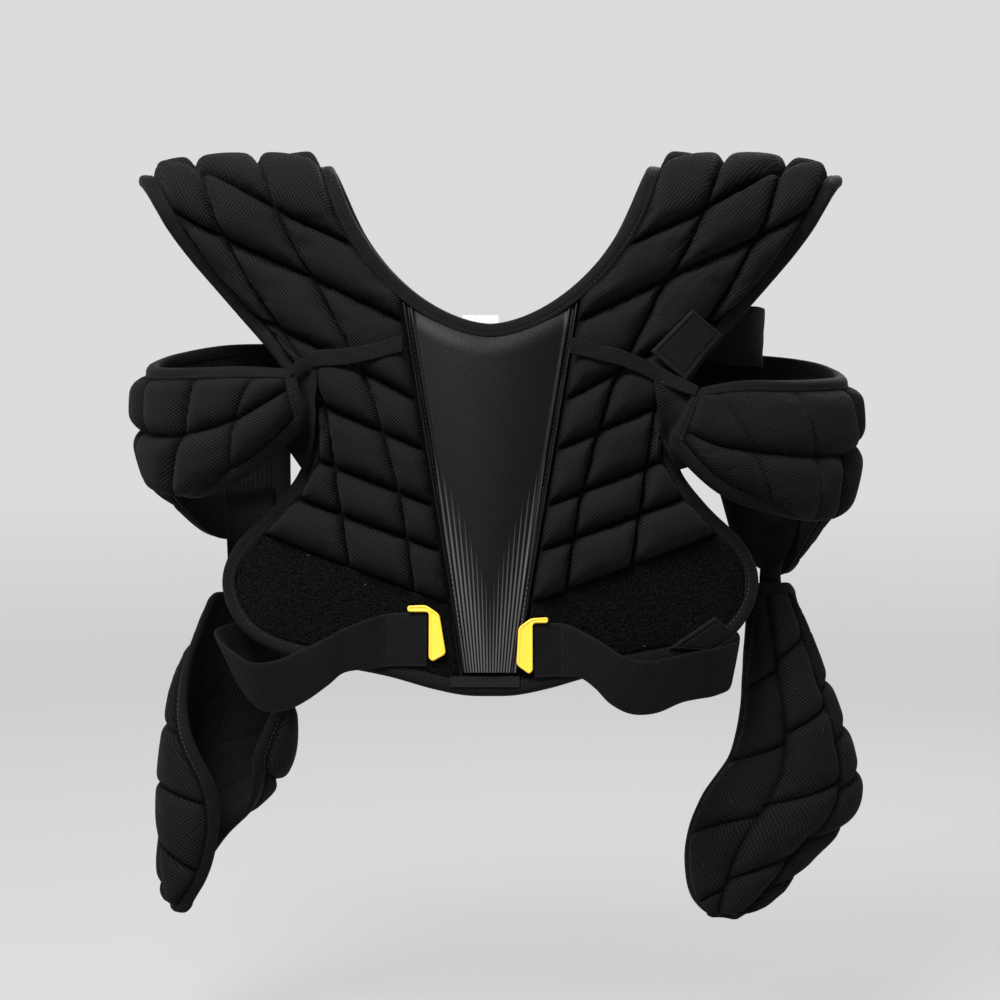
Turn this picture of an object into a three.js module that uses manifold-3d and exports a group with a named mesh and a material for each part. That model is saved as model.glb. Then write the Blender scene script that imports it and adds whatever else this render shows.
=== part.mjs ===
// Lacrosse shoulder pads: quilted front and back panels that meet over the shoulders, with a
// sternum plate, loop panels, elastic side straps, sleeve-like shoulder caps and hanging bicep pads.
// Millimetres, +Z up, the chest faces -Y, +X is the viewer's right when facing the chest.
// The origin is midway between the shoulders, at the height where their undersides hang.

import * as THREE from "three";
import Module from "manifold-3d";

const { degToRad, lerp, clamp, smoothstep } = THREE.MathUtils;

// The vest is drawn as a flat sewing pattern: x runs across it and s along it, from the fold over
// the shoulder, positive down the chest and negative down the back. These sizes drape the pattern.
const SHOULDER_FOLD_RADIUS = 34;
const CHEST_LEAN = degToRad(7);
const BACK_LEAN = degToRad(4);
const CHEST_WRAP = 34; // how far the chest's sides curve back, at WRAP_AT from the middle
const BACK_WRAP = 24;
const WRAP_AT = 180;
const WRAP_STARTS = 20;
const WRAP_FULL = 140;
const SHOULDER_SLOPE = 0.05; // outer shoulders hang a little lower than the neck side
const SLOPE_STARTS_AT = 100;
const SLOPE_ENDS = 200;

// Layers, as heights above the inside face of the vest
const LINER_TOP = 3;
const LAYER_GAP = 0.8;
const PAD_FOOT = LINER_TOP + LAYER_GAP;
const SEAM_TOP = 6.5;
const PAD_TOP = 17;
const LOOP_TOP = 7;
const BINDING_FOOT = -1;
const BINDING_TOP = 6.7;
const BINDING_WIDTH = 9;
const BOUND_EDGE = BINDING_WIDTH + LAYER_GAP; // what lies inside a binding stops this far in
const CLOTH_GAP = 0.3;

// Outline of the vest, from the middle of the hem round the armhole to the top of the shoulder
const VEST_EDGE = [
  { x: 0, s: 347 },
  { x: 33, s: 342 },
  { x: 62, s: 336 },
  { x: 95, s: 331 },
  { x: 127, s: 325 },
  { x: 149, s: 314 },
  { x: 162, s: 297 },
  { x: 166, s: 277 },
  { x: 157, s: 256 },
  { x: 134, s: 233 },
  { x: 118, s: 212 },
  { x: 113, s: 192 },
  { x: 118, s: 166 },
  { x: 134, s: 140 },
  { x: 163, s: 104 },
  { x: 194, s: 65 },
  { x: 213, s: 35 },
  { x: 224, s: 12 },
  { x: 226, s: 0 },
];
const NECK_HALF_WIDTH = 100;
const NECK_FRONT_DROP = 119;
const NECK_BACK_DROP = 111;
const NECK_ROUNDNESS = 1.7; // exponent of the neck curve: 2 is an ellipse

// Sternum plate: a long tapered plate from the neck to the hem
const STERNUM_TOP = { halfWidth: 56, s: 98 };
const STERNUM_FOOT = { halfWidth: 17, s: 334.5 };
const STERNUM_EDGE_TOP = 6.8;
const STERNUM_CROWN = 3.6;

// Quilting: two long seams down each side, and slanted cross seams that drop towards the middle.
// A cross seam's place is its s at CROSS_SEAM_X, and its fall is the change in s per millimetre.
const LONG_SEAMS = [
  { s: 0, inner: 152, outer: 191 },
  { s: 50, inner: 131, outer: 170 },
  { s: 93, inner: 107, outer: 146 },
  { s: 130, inner: 88, outer: 123 },
  { s: 165, inner: 72, outer: 103 },
  { s: 192, inner: 64, outer: 97 },
  { s: 230, inner: 54, outer: 91 },
  { s: 285, inner: 45, outer: 82 },
];
const CROSS_SEAM_X = 100;
const SHOULDER_SEAM = 60; // where the chest pads end, behind the shoulder
const CHEST_SEAMS = [
  { at: -SHOULDER_SEAM, fall: 0 },
  { at: 62, fall: 0.51 },
  { at: 94, fall: 0.53 },
  { at: 137, fall: 0.57 },
  { at: 172, fall: 0.45 },
  { at: 207, fall: 0.4 },
  { at: 235, fall: 0.37 },
  { at: 265, fall: 0.37 },
];
const BACK_SEAMS = [
  { at: SHOULDER_SEAM + LAYER_GAP, fall: 0 },
  { at: 112, fall: 0.3 },
  { at: 160, fall: 0.4 },
  { at: 212, fall: 0.38 },
  { at: 265, fall: 0.37 },
];
const PAD_INSET = 1; // quilted pads stop this much short of the bindings
const CELL_LINES = [0, 0.22, 0.78]; // grid lines in a quilted cell: seam, and the two edges of its flat top
const FOLD_LINES = [0, 0.1, 0.2, 0.3, 0.4, 0.5, 0.6, 0.7, 0.8, 0.9];
const SHOULDER_LINES = [1, 1.2, 1.4, 1.6, 1.8];
const BACK_TOP_LINES = [0, 0.25, 0.5, 0.6, 0.7, 0.8, 0.9];

// Finishes
const FINISH = {
  mesh: { color: 0x1b1b1a, roughness: 0.9, metalness: 0 },
  lining: { color: 0x141416, roughness: 0.95, metalness: 0 },
  binding: { color: 0x1c1c1f, roughness: 0.75, metalness: 0 },
  plate: { color: 0x1d1d1f, roughness: 0.5, metalness: 0 },
  loop: { color: 0x0e0e10, roughness: 1, metalness: 0 },
  elastic: { color: 0x18181a, roughness: 0.8, metalness: 0 },
  pull_tab: { color: 0xf2bd1d, roughness: 0.5, metalness: 0 },
  label: { color: 0x161616, roughness: 0.8, metalness: 0 },
  care_label: { color: 0xe8e8e6, roughness: 0.9, metalness: 0 },
};

const vest = new THREE.Group();

function addPiece(name, geometry, finish) {
  const piece = new THREE.Mesh(geometry, new THREE.MeshStandardMaterial(FINISH[finish]));
  piece.name = name;
  vest.add(piece);
  return piece;
}

// A smooth curve through one column of a table, read at a station that rises down the table.
function tableCurve(rows, station, column) {
  const at = rows.map((row) => row[station]);
  const value = rows.map((row) => row[column]);
  const last = at.length - 1;
  const slope = at.map((_, i) => {
    const before = Math.max(i - 1, 0);
    const after = Math.min(i + 1, last);
    return (value[after] - value[before]) / (at[after] - at[before]);
  });
  return (t) => {
    let i = 0;
    while (i < last - 1 && t > at[i + 1]) i++;
    const width = at[i + 1] - at[i];
    const f = clamp((t - at[i]) / width, 0, 1);
    const g = 1 - f;
    return (
      value[i] * (1 + 2 * f) * g * g +
      slope[i] * width * f * g * g +
      value[i + 1] * (3 - 2 * f) * f * f -
      slope[i + 1] * width * f * f * g
    );
  };
}

// Straight lines between points whose key only rises or only falls: the other value at a key.
function polyline(points, key, value) {
  const rising = points[0][key] < points[points.length - 1][key] ? points : [...points].reverse();
  return (t) => {
    let i = 0;
    while (i < rising.length - 2 && t > rising[i + 1][key]) i++;
    const f = clamp((t - rising[i][key]) / (rising[i + 1][key] - rising[i][key]), 0, 1);
    return lerp(rising[i][value], rising[i + 1][value], f);
  };
}

const evenly = (steps) => Array.from({ length: steps + 1 }, (_, i) => i / steps);

// An indexed geometry whose faces point out.
function closedGeometry(points, index) {
  let volume = 0;
  for (let i = 0; i < index.length; i += 3) {
    const [a, b, c] = [points[index[i]], points[index[i + 1]], points[index[i + 2]]];
    volume += a.dot(new THREE.Vector3().crossVectors(b, c));
  }
  const geometry = new THREE.BufferGeometry().setFromPoints(points);
  geometry.setIndex(volume < 0 ? [...index].reverse() : index);
  geometry.computeVertexNormals();
  return geometry;
}

// A closed sheet: a grid of points on an inner face (0) and an outer face (1), joined round its edge.
function sheetGeometry(across, along, pointAt) {
  const points = [];
  for (const face of [0, 1]) {
    for (const v of along) {
      for (const u of across) points.push(pointAt(u, v, face));
    }
  }
  const id = (i, j, face) => (face * along.length + j) * across.length + i;
  const index = [];
  const quad = (a, b, c, d) => {
    const shortDiagonal = points[a].distanceTo(points[c]) <= points[b].distanceTo(points[d]);
    index.push(...(shortDiagonal ? [a, b, c, a, c, d] : [b, c, d, b, d, a]));
  };
  const right = across.length - 1;
  const foot = along.length - 1;
  for (let j = 0; j < foot; j++) {
    for (let i = 0; i < right; i++) {
      quad(id(i, j, 1), id(i + 1, j, 1), id(i + 1, j + 1, 1), id(i, j + 1, 1));
      quad(id(i, j + 1, 0), id(i + 1, j + 1, 0), id(i + 1, j, 0), id(i, j, 0));
    }
    quad(id(0, j, 0), id(0, j, 1), id(0, j + 1, 1), id(0, j + 1, 0));
    quad(id(right, j, 1), id(right, j, 0), id(right, j + 1, 0), id(right, j + 1, 1));
  }
  for (let i = 0; i < right; i++) {
    quad(id(i, 0, 0), id(i + 1, 0, 0), id(i + 1, 0, 1), id(i, 0, 1));
    quad(id(i, foot, 1), id(i + 1, foot, 1), id(i + 1, foot, 0), id(i, foot, 0));
  }
  return closedGeometry(points, index);
}

// A tube through rings of equal length: a closed loop, or an open length with flat ends.
function sweptGeometry(rings, isLoop) {
  const sides = rings[0].length;
  const points = rings.flat();
  const index = [];
  const steps = isLoop ? rings.length : rings.length - 1;
  for (let k = 0; k < steps; k++) {
    const here = k * sides;
    const next = ((k + 1) % rings.length) * sides;
    for (let i = 0; i < sides; i++) {
      const j = (i + 1) % sides;
      index.push(here + i, here + j, next + j, here + i, next + j, next + i);
    }
  }
  if (!isLoop) {
    const end = (rings.length - 1) * sides;
    for (let i = 1; i < sides - 1; i++) {
      index.push(0, i + 1, i, end, end + i, end + i + 1);
    }
  }
  return closedGeometry(points, index);
}

// A flat plate: an outline, placed at a low and a high level.
function plateGeometry(outline, pointAt) {
  const count = outline.length;
  const corners = outline.map(({ x, s }) => new THREE.Vector2(x, s));
  const points = [0, 1].flatMap((face) => outline.map(({ x, s }) => pointAt(x, s, face)));
  const index = [];
  for (const [a, b, c] of THREE.ShapeUtils.triangulateShape(corners, [])) {
    index.push(a + count, b + count, c + count, c, b, a);
  }
  const clockwise = THREE.ShapeUtils.isClockWise(corners);
  for (let i = 0; i < count; i++) {
    const j = (i + 1) % count;
    const [from, to] = clockwise ? [j, i] : [i, j];
    index.push(from, to, to + count, from, to + count, from + count);
  }
  return closedGeometry(points, index);
}

// The inside face of the vest at a point of the pattern.
function vestFace(x, s) {
  const along = Math.abs(s);
  const front = s >= 0;
  const lean = front ? CHEST_LEAN : BACK_LEAN;
  const foldAngle = Math.PI / 2 - lean;
  const foldEnd = SHOULDER_FOLD_RADIUS * foldAngle;
  const angle = Math.min(along / SHOULDER_FOLD_RADIUS, foldAngle);
  const beyond = Math.max(along - foldEnd, 0);
  const wrap =
    (front ? CHEST_WRAP : BACK_WRAP) * (x / WRAP_AT) ** 2 * smoothstep(along, WRAP_STARTS, WRAP_FULL);
  const depth = SHOULDER_FOLD_RADIUS * Math.sin(angle) + beyond * Math.sin(lean) - wrap;
  const slope = 1 - smoothstep(along, 0, SLOPE_ENDS);
  const drop =
    SHOULDER_FOLD_RADIUS * (1 - Math.cos(angle)) +
    beyond * Math.cos(lean) +
    SHOULDER_SLOPE * Math.max(Math.abs(x) - SLOPE_STARTS_AT, 0) * slope;
  return new THREE.Vector3(x, front ? -depth : depth, -drop);
}

// A point at a height above a surface, along the normal that its two directions give.
const STEP_FOR_NORMAL = 0.5;
function lifted(face, u, v, stepU, stepV, lift) {
  const alongU = face(u + stepU, v).sub(face(u - stepU, v));
  const alongV = face(u, v + stepV).sub(face(u, v - stepV));
  return face(u, v).addScaledVector(alongV.cross(alongU).normalize(), lift);
}

const vestPoint = (x, s, lift) => lifted(vestFace, x, s, STEP_FOR_NORMAL, STEP_FOR_NORMAL, lift);

// The neck edge as x at s, moved outwards by grow.
function neckX(s, grow) {
  const drop = (s >= 0 ? NECK_FRONT_DROP : NECK_BACK_DROP) + grow;
  const share = Math.min(Math.abs(s) / drop, 1);
  return (NECK_HALF_WIDTH + grow) * (1 - share ** NECK_ROUNDNESS) ** (1 / NECK_ROUNDNESS);
}

// The neck edge on the chest as s at x, moved down by grow.
function neckS(x, grow) {
  const share = Math.min(Math.abs(x) / (NECK_HALF_WIDTH + grow), 1);
  return (NECK_FRONT_DROP + grow) * (1 - share ** NECK_ROUNDNESS) ** (1 / NECK_ROUNDNESS);
}

// Points on the vest's edge with the direction that leads inwards from it.
const EDGE_SAMPLES = 160;
const vestEdge = new THREE.SplineCurve(VEST_EDGE.map(({ x, s }) => new THREE.Vector2(x, s)));
function edgePoints(steps) {
  return evenly(steps).map((t) => {
    const point = vestEdge.getPointAt(t);
    const tangent = vestEdge.getTangentAt(t);
    return { x: point.x, s: point.y, inX: tangent.y, inS: -tangent.x };
  });
}

// The edge moved inwards, split where it turns: the hem and corner, then the armhole.
const insetEdge = edgePoints(EDGE_SAMPLES).map(({ x, s, inX, inS }) => ({
  x: Math.max(x + inX * BOUND_EDGE, 0),
  s: s + inS * BOUND_EDGE,
}));
const outerX = polyline(insetEdge, "s", "x");
const corner = insetEdge.reduce((far, p, i) => (p.s > 230 && p.x > insetEdge[far].x ? i : far), 0);
const isWaist = (p, i, near) => i > corner && p.s > 150 && p.x < insetEdge[near].x;
const waist = insetEdge.reduce((near, p, i) => (isWaist(p, i, near) ? i : near), corner);
const hemS = polyline(insetEdge.slice(0, corner + 1), "x", "s");
const armholeS = polyline(insetEdge.slice(corner, waist + 1), "x", "s");
const cornerX = insetEdge[corner].x;

const sternumX = (s) =>
  lerp(STERNUM_TOP.halfWidth, STERNUM_FOOT.halfWidth, (s - STERNUM_TOP.s) / (STERNUM_FOOT.s - STERNUM_TOP.s));
const crossSeam = ({ at, fall }) => (x) => at + fall * (CROSS_SEAM_X - x);
const longSeams = {
  inner: tableCurve(LONG_SEAMS, "s", "inner"),
  outer: tableCurve(LONG_SEAMS, "s", "outer"),
};

// Liners: the lining of the chest and of the back, each sewn from a left and a right half
const LINER_COLUMNS = 2;
const NECK_ROWS = [0.2, 12, 24, 36, 48, 60, 71, 82, 92, 101, 109, 116, 122, 126];
const WAIST_ROWS = [140, 153, 166, 179, 192, 205, 218, 231, 250, 275, 300, 318, 328, 335];
const LINER_ROWS = [...NECK_ROWS, ...WAIST_ROWS];
const wasm = await Module();
wasm.setup();

function toSolid(geometry) {
  return new wasm.Manifold(
    new wasm.Mesh({
      numProp: 3,
      vertProperties: geometry.getAttribute("position").array,
      triVerts: new Uint32Array(geometry.index.array),
    }),
  );
}

function joined(first, second) {
  const mesh = toSolid(first).add(toSolid(second)).getMesh();
  const geometry = new THREE.BufferGeometry();
  geometry.setAttribute("position", new THREE.BufferAttribute(mesh.vertProperties, 3));
  geometry.setIndex(new THREE.BufferAttribute(mesh.triVerts, 1));
  geometry.computeVertexNormals();
  return geometry;
}

function linerHalf(side, facing) {
  return sheetGeometry(evenly(LINER_COLUMNS), LINER_ROWS, (u, row, face) => {
    const x = lerp(neckX(row * facing, BOUND_EDGE), outerX(row) - CLOTH_GAP, u);
    return vestPoint(side * x, row * facing, face * LINER_TOP);
  });
}

for (const [name, facing] of [["chest_liner", 1], ["back_liner", -1]]) {
  addPiece(name, joined(linerHalf(-1, facing), linerHalf(1, facing)), "lining");
}

// Quilted pads: cells with flat tops between sewn-down seams
const flatTop = (t) => smoothstep(t, 0, CELL_LINES[1]) * smoothstep(1 - t, 0, 1 - CELL_LINES[2]);
const cellLines = (cells, lines = CELL_LINES) => [
  ...Array.from({ length: cells }, (_, cell) => lines.map((t) => cell + t)).flat(),
  cells,
];

function quiltPoint({ columns, seams, side, facing }, u, v, face) {
  const column = Math.min(Math.floor(u), columns.length - 2);
  const band = Math.min(Math.floor(v), seams.length - 2);
  const seamS = (x) => lerp(seams[band](x), seams[band + 1](x), v - band);
  const columnX = (s) => lerp(columns[column](s), columns[column + 1](s), u - column);
  let x = CROSS_SEAM_X;
  for (let i = 0; i < 40; i++) x += 0.5 * (columnX(seamS(x)) - x);
  const puff = lerp(SEAM_TOP, PAD_TOP, flatTop(u - column) * flatTop(v - band));
  return vestPoint(side * x, facing * seamS(x), face ? puff : PAD_FOOT);
}

const chestQuilt = {
  columns: [
    (s) => Math.max(neckX(s, BOUND_EDGE + PAD_INSET), sternumX(s) + LAYER_GAP),
    (s) => longSeams.inner(Math.abs(s)),
    (s) => longSeams.outer(Math.abs(s)),
    (s) => outerX(Math.abs(s)) - PAD_INSET,
  ],
  seams: CHEST_SEAMS.map(crossSeam),
  facing: 1,
};
const backInner = (s) => Math.max(neckX(-s, BOUND_EDGE + PAD_INSET), CLOTH_GAP / 2);
const backQuilt = {
  columns: [
    backInner,
    longSeams.inner,
    longSeams.outer,
    (s) => outerX(s) - PAD_INSET,
  ],
  seams: BACK_SEAMS.map(crossSeam),
  facing: -1,
};
const bandLines = (seams, fineLines) => [
  ...fineLines,
  ...cellLines(seams.length - 1).slice(Math.ceil(fineLines[fineLines.length - 1]) * CELL_LINES.length),
];
function quiltGeometry(quilt, side, fineLines) {
  const rows = bandLines(quilt.seams, fineLines);
  return sheetGeometry(cellLines(3), rows, (u, v, face) => quiltPoint({ ...quilt, side }, u, v, face));
}
for (const [side, hand] of [[-1, "left"], [1, "right"]]) {
  const chest = quiltGeometry(chestQuilt, side, [...FOLD_LINES, ...SHOULDER_LINES]);
  addPiece(`chest_pad_${hand}`, chest, "mesh");
  addPiece(`back_pad_${hand}`, quiltGeometry(backQuilt, side, BACK_TOP_LINES), "mesh");
}

// Sternum plate: its top edge follows the neck, its face is crowned across
const PLATE_COLUMNS = 6;
const PLATE_ROWS = 8;
const plate = sheetGeometry(evenly(PLATE_COLUMNS), evenly(PLATE_ROWS), (u, v, face) => {
  const across = 2 * u - 1;
  let s = STERNUM_FOOT.s;
  for (let i = 0; i < 30; i++) {
    s = lerp(neckS(across * sternumX(s), BOUND_EDGE + PAD_INSET), STERNUM_FOOT.s, v);
  }
  const top = STERNUM_EDGE_TOP + STERNUM_CROWN * (1 - across ** 2);
  return vestPoint(across * sternumX(s), s, face ? top : PAD_FOOT);
});
addPiece("sternum_plate", plate, "plate");

// Lower panels: pile loop on the chest, plain lining on the back, from the lowest seam to the hem
const PANEL_COLUMNS = 7;
const PANEL_ROWS = 3;
const PANEL_END = cornerX - 1.5;
const lowestSeam = crossSeam(CHEST_SEAMS[CHEST_SEAMS.length - 1]);
function lowerPanel(side, facing, innerTop, innerFoot) {
  return sheetGeometry(evenly(PANEL_COLUMNS), evenly(PANEL_ROWS), (u, v, face) => {
    const topX = lerp(innerTop, PANEL_END, u);
    const footX = lerp(innerFoot, PANEL_END, u);
    const topS = Math.max(lowestSeam(topX) + LAYER_GAP, armholeS(topX));
    const s = lerp(topS, hemS(footX), v);
    return vestPoint(side * lerp(topX, footX, v), facing * s, face ? LOOP_TOP : PAD_FOOT);
  });
}
const PLATE_SIDE_TOP = sternumX(lowestSeam(STERNUM_FOOT.halfWidth)) + 2 * LAYER_GAP;
const PLATE_SIDE_FOOT = STERNUM_FOOT.halfWidth + 2 * LAYER_GAP;
for (const [side, hand] of [[-1, "left"], [1, "right"]]) {
  addPiece(`loop_panel_${hand}`, lowerPanel(side, 1, PLATE_SIDE_TOP, PLATE_SIDE_FOOT), "loop");
  addPiece(`back_panel_${hand}`, lowerPanel(side, -1, CLOTH_GAP / 2, CLOTH_GAP / 2), "lining");
}

// Bindings: folded tape round the edges of the vest. Each section corner is a distance in from the
// edge and a height above the inside face.
const BINDING_SECTION = [
  { inside: 0, lift: 2.8 },
  { inside: 2, lift: BINDING_TOP },
  { inside: BINDING_WIDTH, lift: BINDING_TOP },
  { inside: BINDING_WIDTH, lift: BINDING_FOOT },
  { inside: 2, lift: BINDING_FOOT },
];
const EDGE_RINGS = 28;
const NECK_RINGS = 44;

function edgeBinding(side) {
  const front = edgePoints(EDGE_RINGS);
  front[0].x = CLOTH_GAP / 2;
  const back = [...front].reverse().slice(1).map((p) => ({ ...p, s: -p.s, inS: -p.inS }));
  const rings = [...front, ...back].map(({ x, s, inX, inS }) =>
    BINDING_SECTION.map(({ inside, lift }) =>
      vestPoint(side * Math.max(x + inX * inside, CLOTH_GAP / 2), s + inS * inside, lift),
    ),
  );
  return sweptGeometry(rings, false);
}

function neckBinding() {
  const signedPower = (value) => Math.sign(value) * Math.abs(value) ** (2 / NECK_ROUNDNESS);
  const neckAt = (turn) => {
    const s = signedPower(Math.sin(turn));
    return new THREE.Vector2(
      NECK_HALF_WIDTH * signedPower(Math.cos(turn)),
      s * (s >= 0 ? NECK_FRONT_DROP : NECK_BACK_DROP),
    );
  };
  const rings = evenly(NECK_RINGS).slice(0, -1).map((t) => {
    const turn = 2 * Math.PI * (t + 0.5 / NECK_RINGS);
    const here = neckAt(turn);
    const ahead = neckAt(turn + 0.02).sub(neckAt(turn - 0.02)).normalize();
    return BINDING_SECTION.map(({ inside, lift }) =>
      vestPoint(here.x + ahead.y * inside, here.y - ahead.x * inside, lift),
    );
  });
  return sweptGeometry(rings, true);
}

addPiece("neck_binding", neckBinding(), "binding");
for (const [side, hand] of [[-1, "left"], [1, "right"]]) {
  addPiece(`edge_binding_${hand}`, edgeBinding(side), "binding");
}

// Shoulder caps: quilted sleeves from the chest, round the arm, to the back, open above and below.
// Rows run round the arm from the front inner edge to the back inner edge; x is measured outwards.
const CAP_ROWS = {
  left: [
    { rimX: 127, rimY: -49, rimZ: -127, hemX: 119, hemY: -54, hemZ: -171 },
    { rimX: 152, rimY: -50, rimZ: -126, hemX: 146, hemY: -56, hemZ: -193 },
    { rimX: 185, rimY: -42, rimZ: -126, hemX: 176, hemY: -48, hemZ: -206 },
    { rimX: 207, rimY: -24, rimZ: -124, hemX: 198, hemY: -28, hemZ: -204 },
    { rimX: 213, rimY: -4, rimZ: -119, hemX: 206, hemY: -4, hemZ: -200 },
    { rimX: 203, rimY: 16, rimZ: -112, hemX: 200, hemY: 18, hemZ: -214 },
    { rimX: 174, rimY: 34, rimZ: -105, hemX: 178, hemY: 38, hemZ: -234 },
    { rimX: 138, rimY: 47, rimZ: -103, hemX: 142, hemY: 55, hemZ: -224 },
  ],
  right: [
    { rimX: 127, rimY: -50, rimZ: -141, hemX: 113, hemY: -57, hemZ: -170 },
    { rimX: 152, rimY: -52, rimZ: -135, hemX: 142, hemY: -60, hemZ: -202 },
    { rimX: 188, rimY: -44, rimZ: -134, hemX: 178, hemY: -52, hemZ: -218 },
    { rimX: 214, rimY: -26, rimZ: -131, hemX: 206, hemY: -32, hemZ: -221 },
    { rimX: 221, rimY: -4, rimZ: -126, hemX: 215, hemY: -6, hemZ: -212 },
    { rimX: 211, rimY: 16, rimZ: -118, hemX: 209, hemY: 16, hemZ: -228 },
    { rimX: 181, rimY: 34, rimZ: -112, hemX: 190, hemY: 34, hemZ: -258 },
    { rimX: 140, rimY: 47, rimZ: -108, hemX: 152, hemY: 52, hemZ: -244 },
  ],
};
const CAP_BELLY = 6;
const CAP_LINER_TOP = 1.5;
const CAP_LAYERS = { foot: 2.2, seam: 5.5, top: 12 };
const CAP_CELLS = { round: 6, down: 2, lines: CELL_LINES, gap: LAYER_GAP };

// Bicep pads: quilted shells curled round an upright axis, open inside for the upper arm.
// Each row is an arc seen from above: 0 degrees faces the viewer, 90 degrees the viewer's right.
const BICEP_ROWS = {
  left: [
    { z: -268, x: -171, y: -4, halfWidth: 20, halfDepth: 17, from: -235, to: -115 },
    { z: -292, x: -170, y: -3, halfWidth: 24, halfDepth: 19, from: -250, to: -90 },
    { z: -318, x: -170, y: 0, halfWidth: 29, halfDepth: 23, from: -272, to: -70 },
    { z: -348, x: -170, y: 4, halfWidth: 33, halfDepth: 27, from: -300, to: -48 },
    { z: -374, x: -173, y: 4, halfWidth: 33, halfDepth: 26, from: -300, to: -22 },
    { z: -397, x: -182, y: 2, halfWidth: 26, halfDepth: 24, from: -272, to: 6 },
    { z: -423, x: -188, y: -4, halfWidth: 19, halfDepth: 19, from: -225, to: 24 },
    { z: -447, x: -190, y: -8, halfWidth: 15, halfDepth: 15, from: -185, to: 20 },
    { z: -469, x: -192, y: -10, halfWidth: 10, halfDepth: 12, from: -130, to: -10 },
  ],
  right: [
    { z: -262, x: 182, y: 22, halfWidth: 13, halfDepth: 14, from: -70, to: 70 },
    { z: -290, x: 184, y: 20, halfWidth: 17, halfDepth: 18, from: -85, to: 95 },
    { z: -318, x: 187, y: 18, halfWidth: 21, halfDepth: 21, from: -95, to: 105 },
    { z: -346, x: 192, y: 16, halfWidth: 25, halfDepth: 23, from: -98, to: 110 },
    { z: -376, x: 194, y: 16, halfWidth: 34, halfDepth: 26, from: -100, to: 108 },
    { z: -402, x: 187, y: 16, halfWidth: 44, halfDepth: 28, from: -100, to: 98 },
    { z: -428, x: 170, y: 16, halfWidth: 36, halfDepth: 27, from: -95, to: 88 },
    { z: -451, x: 159, y: 16, halfWidth: 26, halfDepth: 25, from: -85, to: 72 },
    { z: -474, x: 151, y: 14, halfWidth: 13, halfDepth: 22, from: -55, to: 50 },
  ],
};
const BICEP_LAYERS = { foot: 0, seam: 4, top: 10 };
const BICEP_LINES = [0, 0.3, 0.7];
const BICEP_CELLS = {
  left: { round: 3, down: 3, lines: BICEP_LINES, gap: 2.5 },
  right: { round: 3, down: 3, lines: BICEP_LINES, gap: 0.9 },
};

// Tape round a shell: a share of the way in from its edge, and a height above its inside face.
const SHELL_BINDING_WIDTH = 8;
const SHELL_BINDING_SECTION = [
  { share: 0, lift: 5.8 },
  { share: 1, lift: 6.5 },
  { share: 1, lift: -1 },
  { share: 0, lift: -0.3 },
];
const SHELL_EDGE_MIDDLE = 2.6; // height of the middle of the tape's outer edge
const SHELL_CORNER_CUT = 0.3; // rounds the corners of the tape
const SHELL_STEP = 0.004;

const withStation = (rows) => rows.map((row, i) => ({ ...row, at: i / (rows.length - 1) }));

function capShell(hand, side) {
  const rows = withStation(CAP_ROWS[hand]);
  const column = Object.fromEntries(Object.keys(rows[0]).map((key) => [key, tableCurve(rows, "at", key)]));
  const face = (a, b) =>
    new THREE.Vector3(
      side * lerp(column.rimX(a), column.hemX(a), b),
      lerp(column.rimY(a), column.hemY(a), b),
      lerp(column.rimZ(a), column.hemZ(a), b),
    );
  return (a, b, lift) => {
    const belly = CAP_BELLY * Math.sin(Math.PI * clamp(b, 0, 1));
    return lifted(face, a, b, SHELL_STEP, SHELL_STEP, side * (lift + belly));
  };
}

function bicepShell(hand) {
  const rows = withStation(BICEP_ROWS[hand]);
  const column = Object.fromEntries(Object.keys(rows[0]).map((key) => [key, tableCurve(rows, "at", key)]));
  const face = (a, b) => {
    const turn = degToRad(lerp(column.from(b), column.to(b), a));
    return new THREE.Vector3(
      column.x(b) + column.halfWidth(b) * Math.sin(turn),
      column.y(b) - column.halfDepth(b) * Math.cos(turn),
      column.z(b),
    );
  };
  return (a, b, lift) => lifted(face, a, b, SHELL_STEP, SHELL_STEP, lift);
}

// The places round and down a shell that lie a width inside its edge.
function shellInset(shell, width) {
  const steps = evenly(24);
  const run = (pointAt) =>
    steps.slice(1).reduce((sum, t, i) => sum + pointAt(t).distanceTo(pointAt(steps[i])), 0);
  const down = width / run((t) => shell(0.5, t, 0));
  const round = (b) => width / run((t) => shell(t, clamp(b, 0, 1), 0));
  return {
    b: (v) => lerp(down, 1 - down, v),
    a: (u, b) => lerp(round(b), 1 - round(b), u),
  };
}

function shellPad(shell, cells, layers) {
  const inset = shellInset(shell, SHELL_BINDING_WIDTH + cells.gap);
  return sheetGeometry(cellLines(cells.round, cells.lines), cellLines(cells.down, cells.lines), (u, v, face) => {
    const puff = lerp(layers.seam, layers.top, flatTop(u % 1) * flatTop(v % 1));
    const b = inset.b(v / cells.down);
    return shell(inset.a(u / cells.round, b), b, face ? puff : layers.foot);
  });
}

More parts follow.
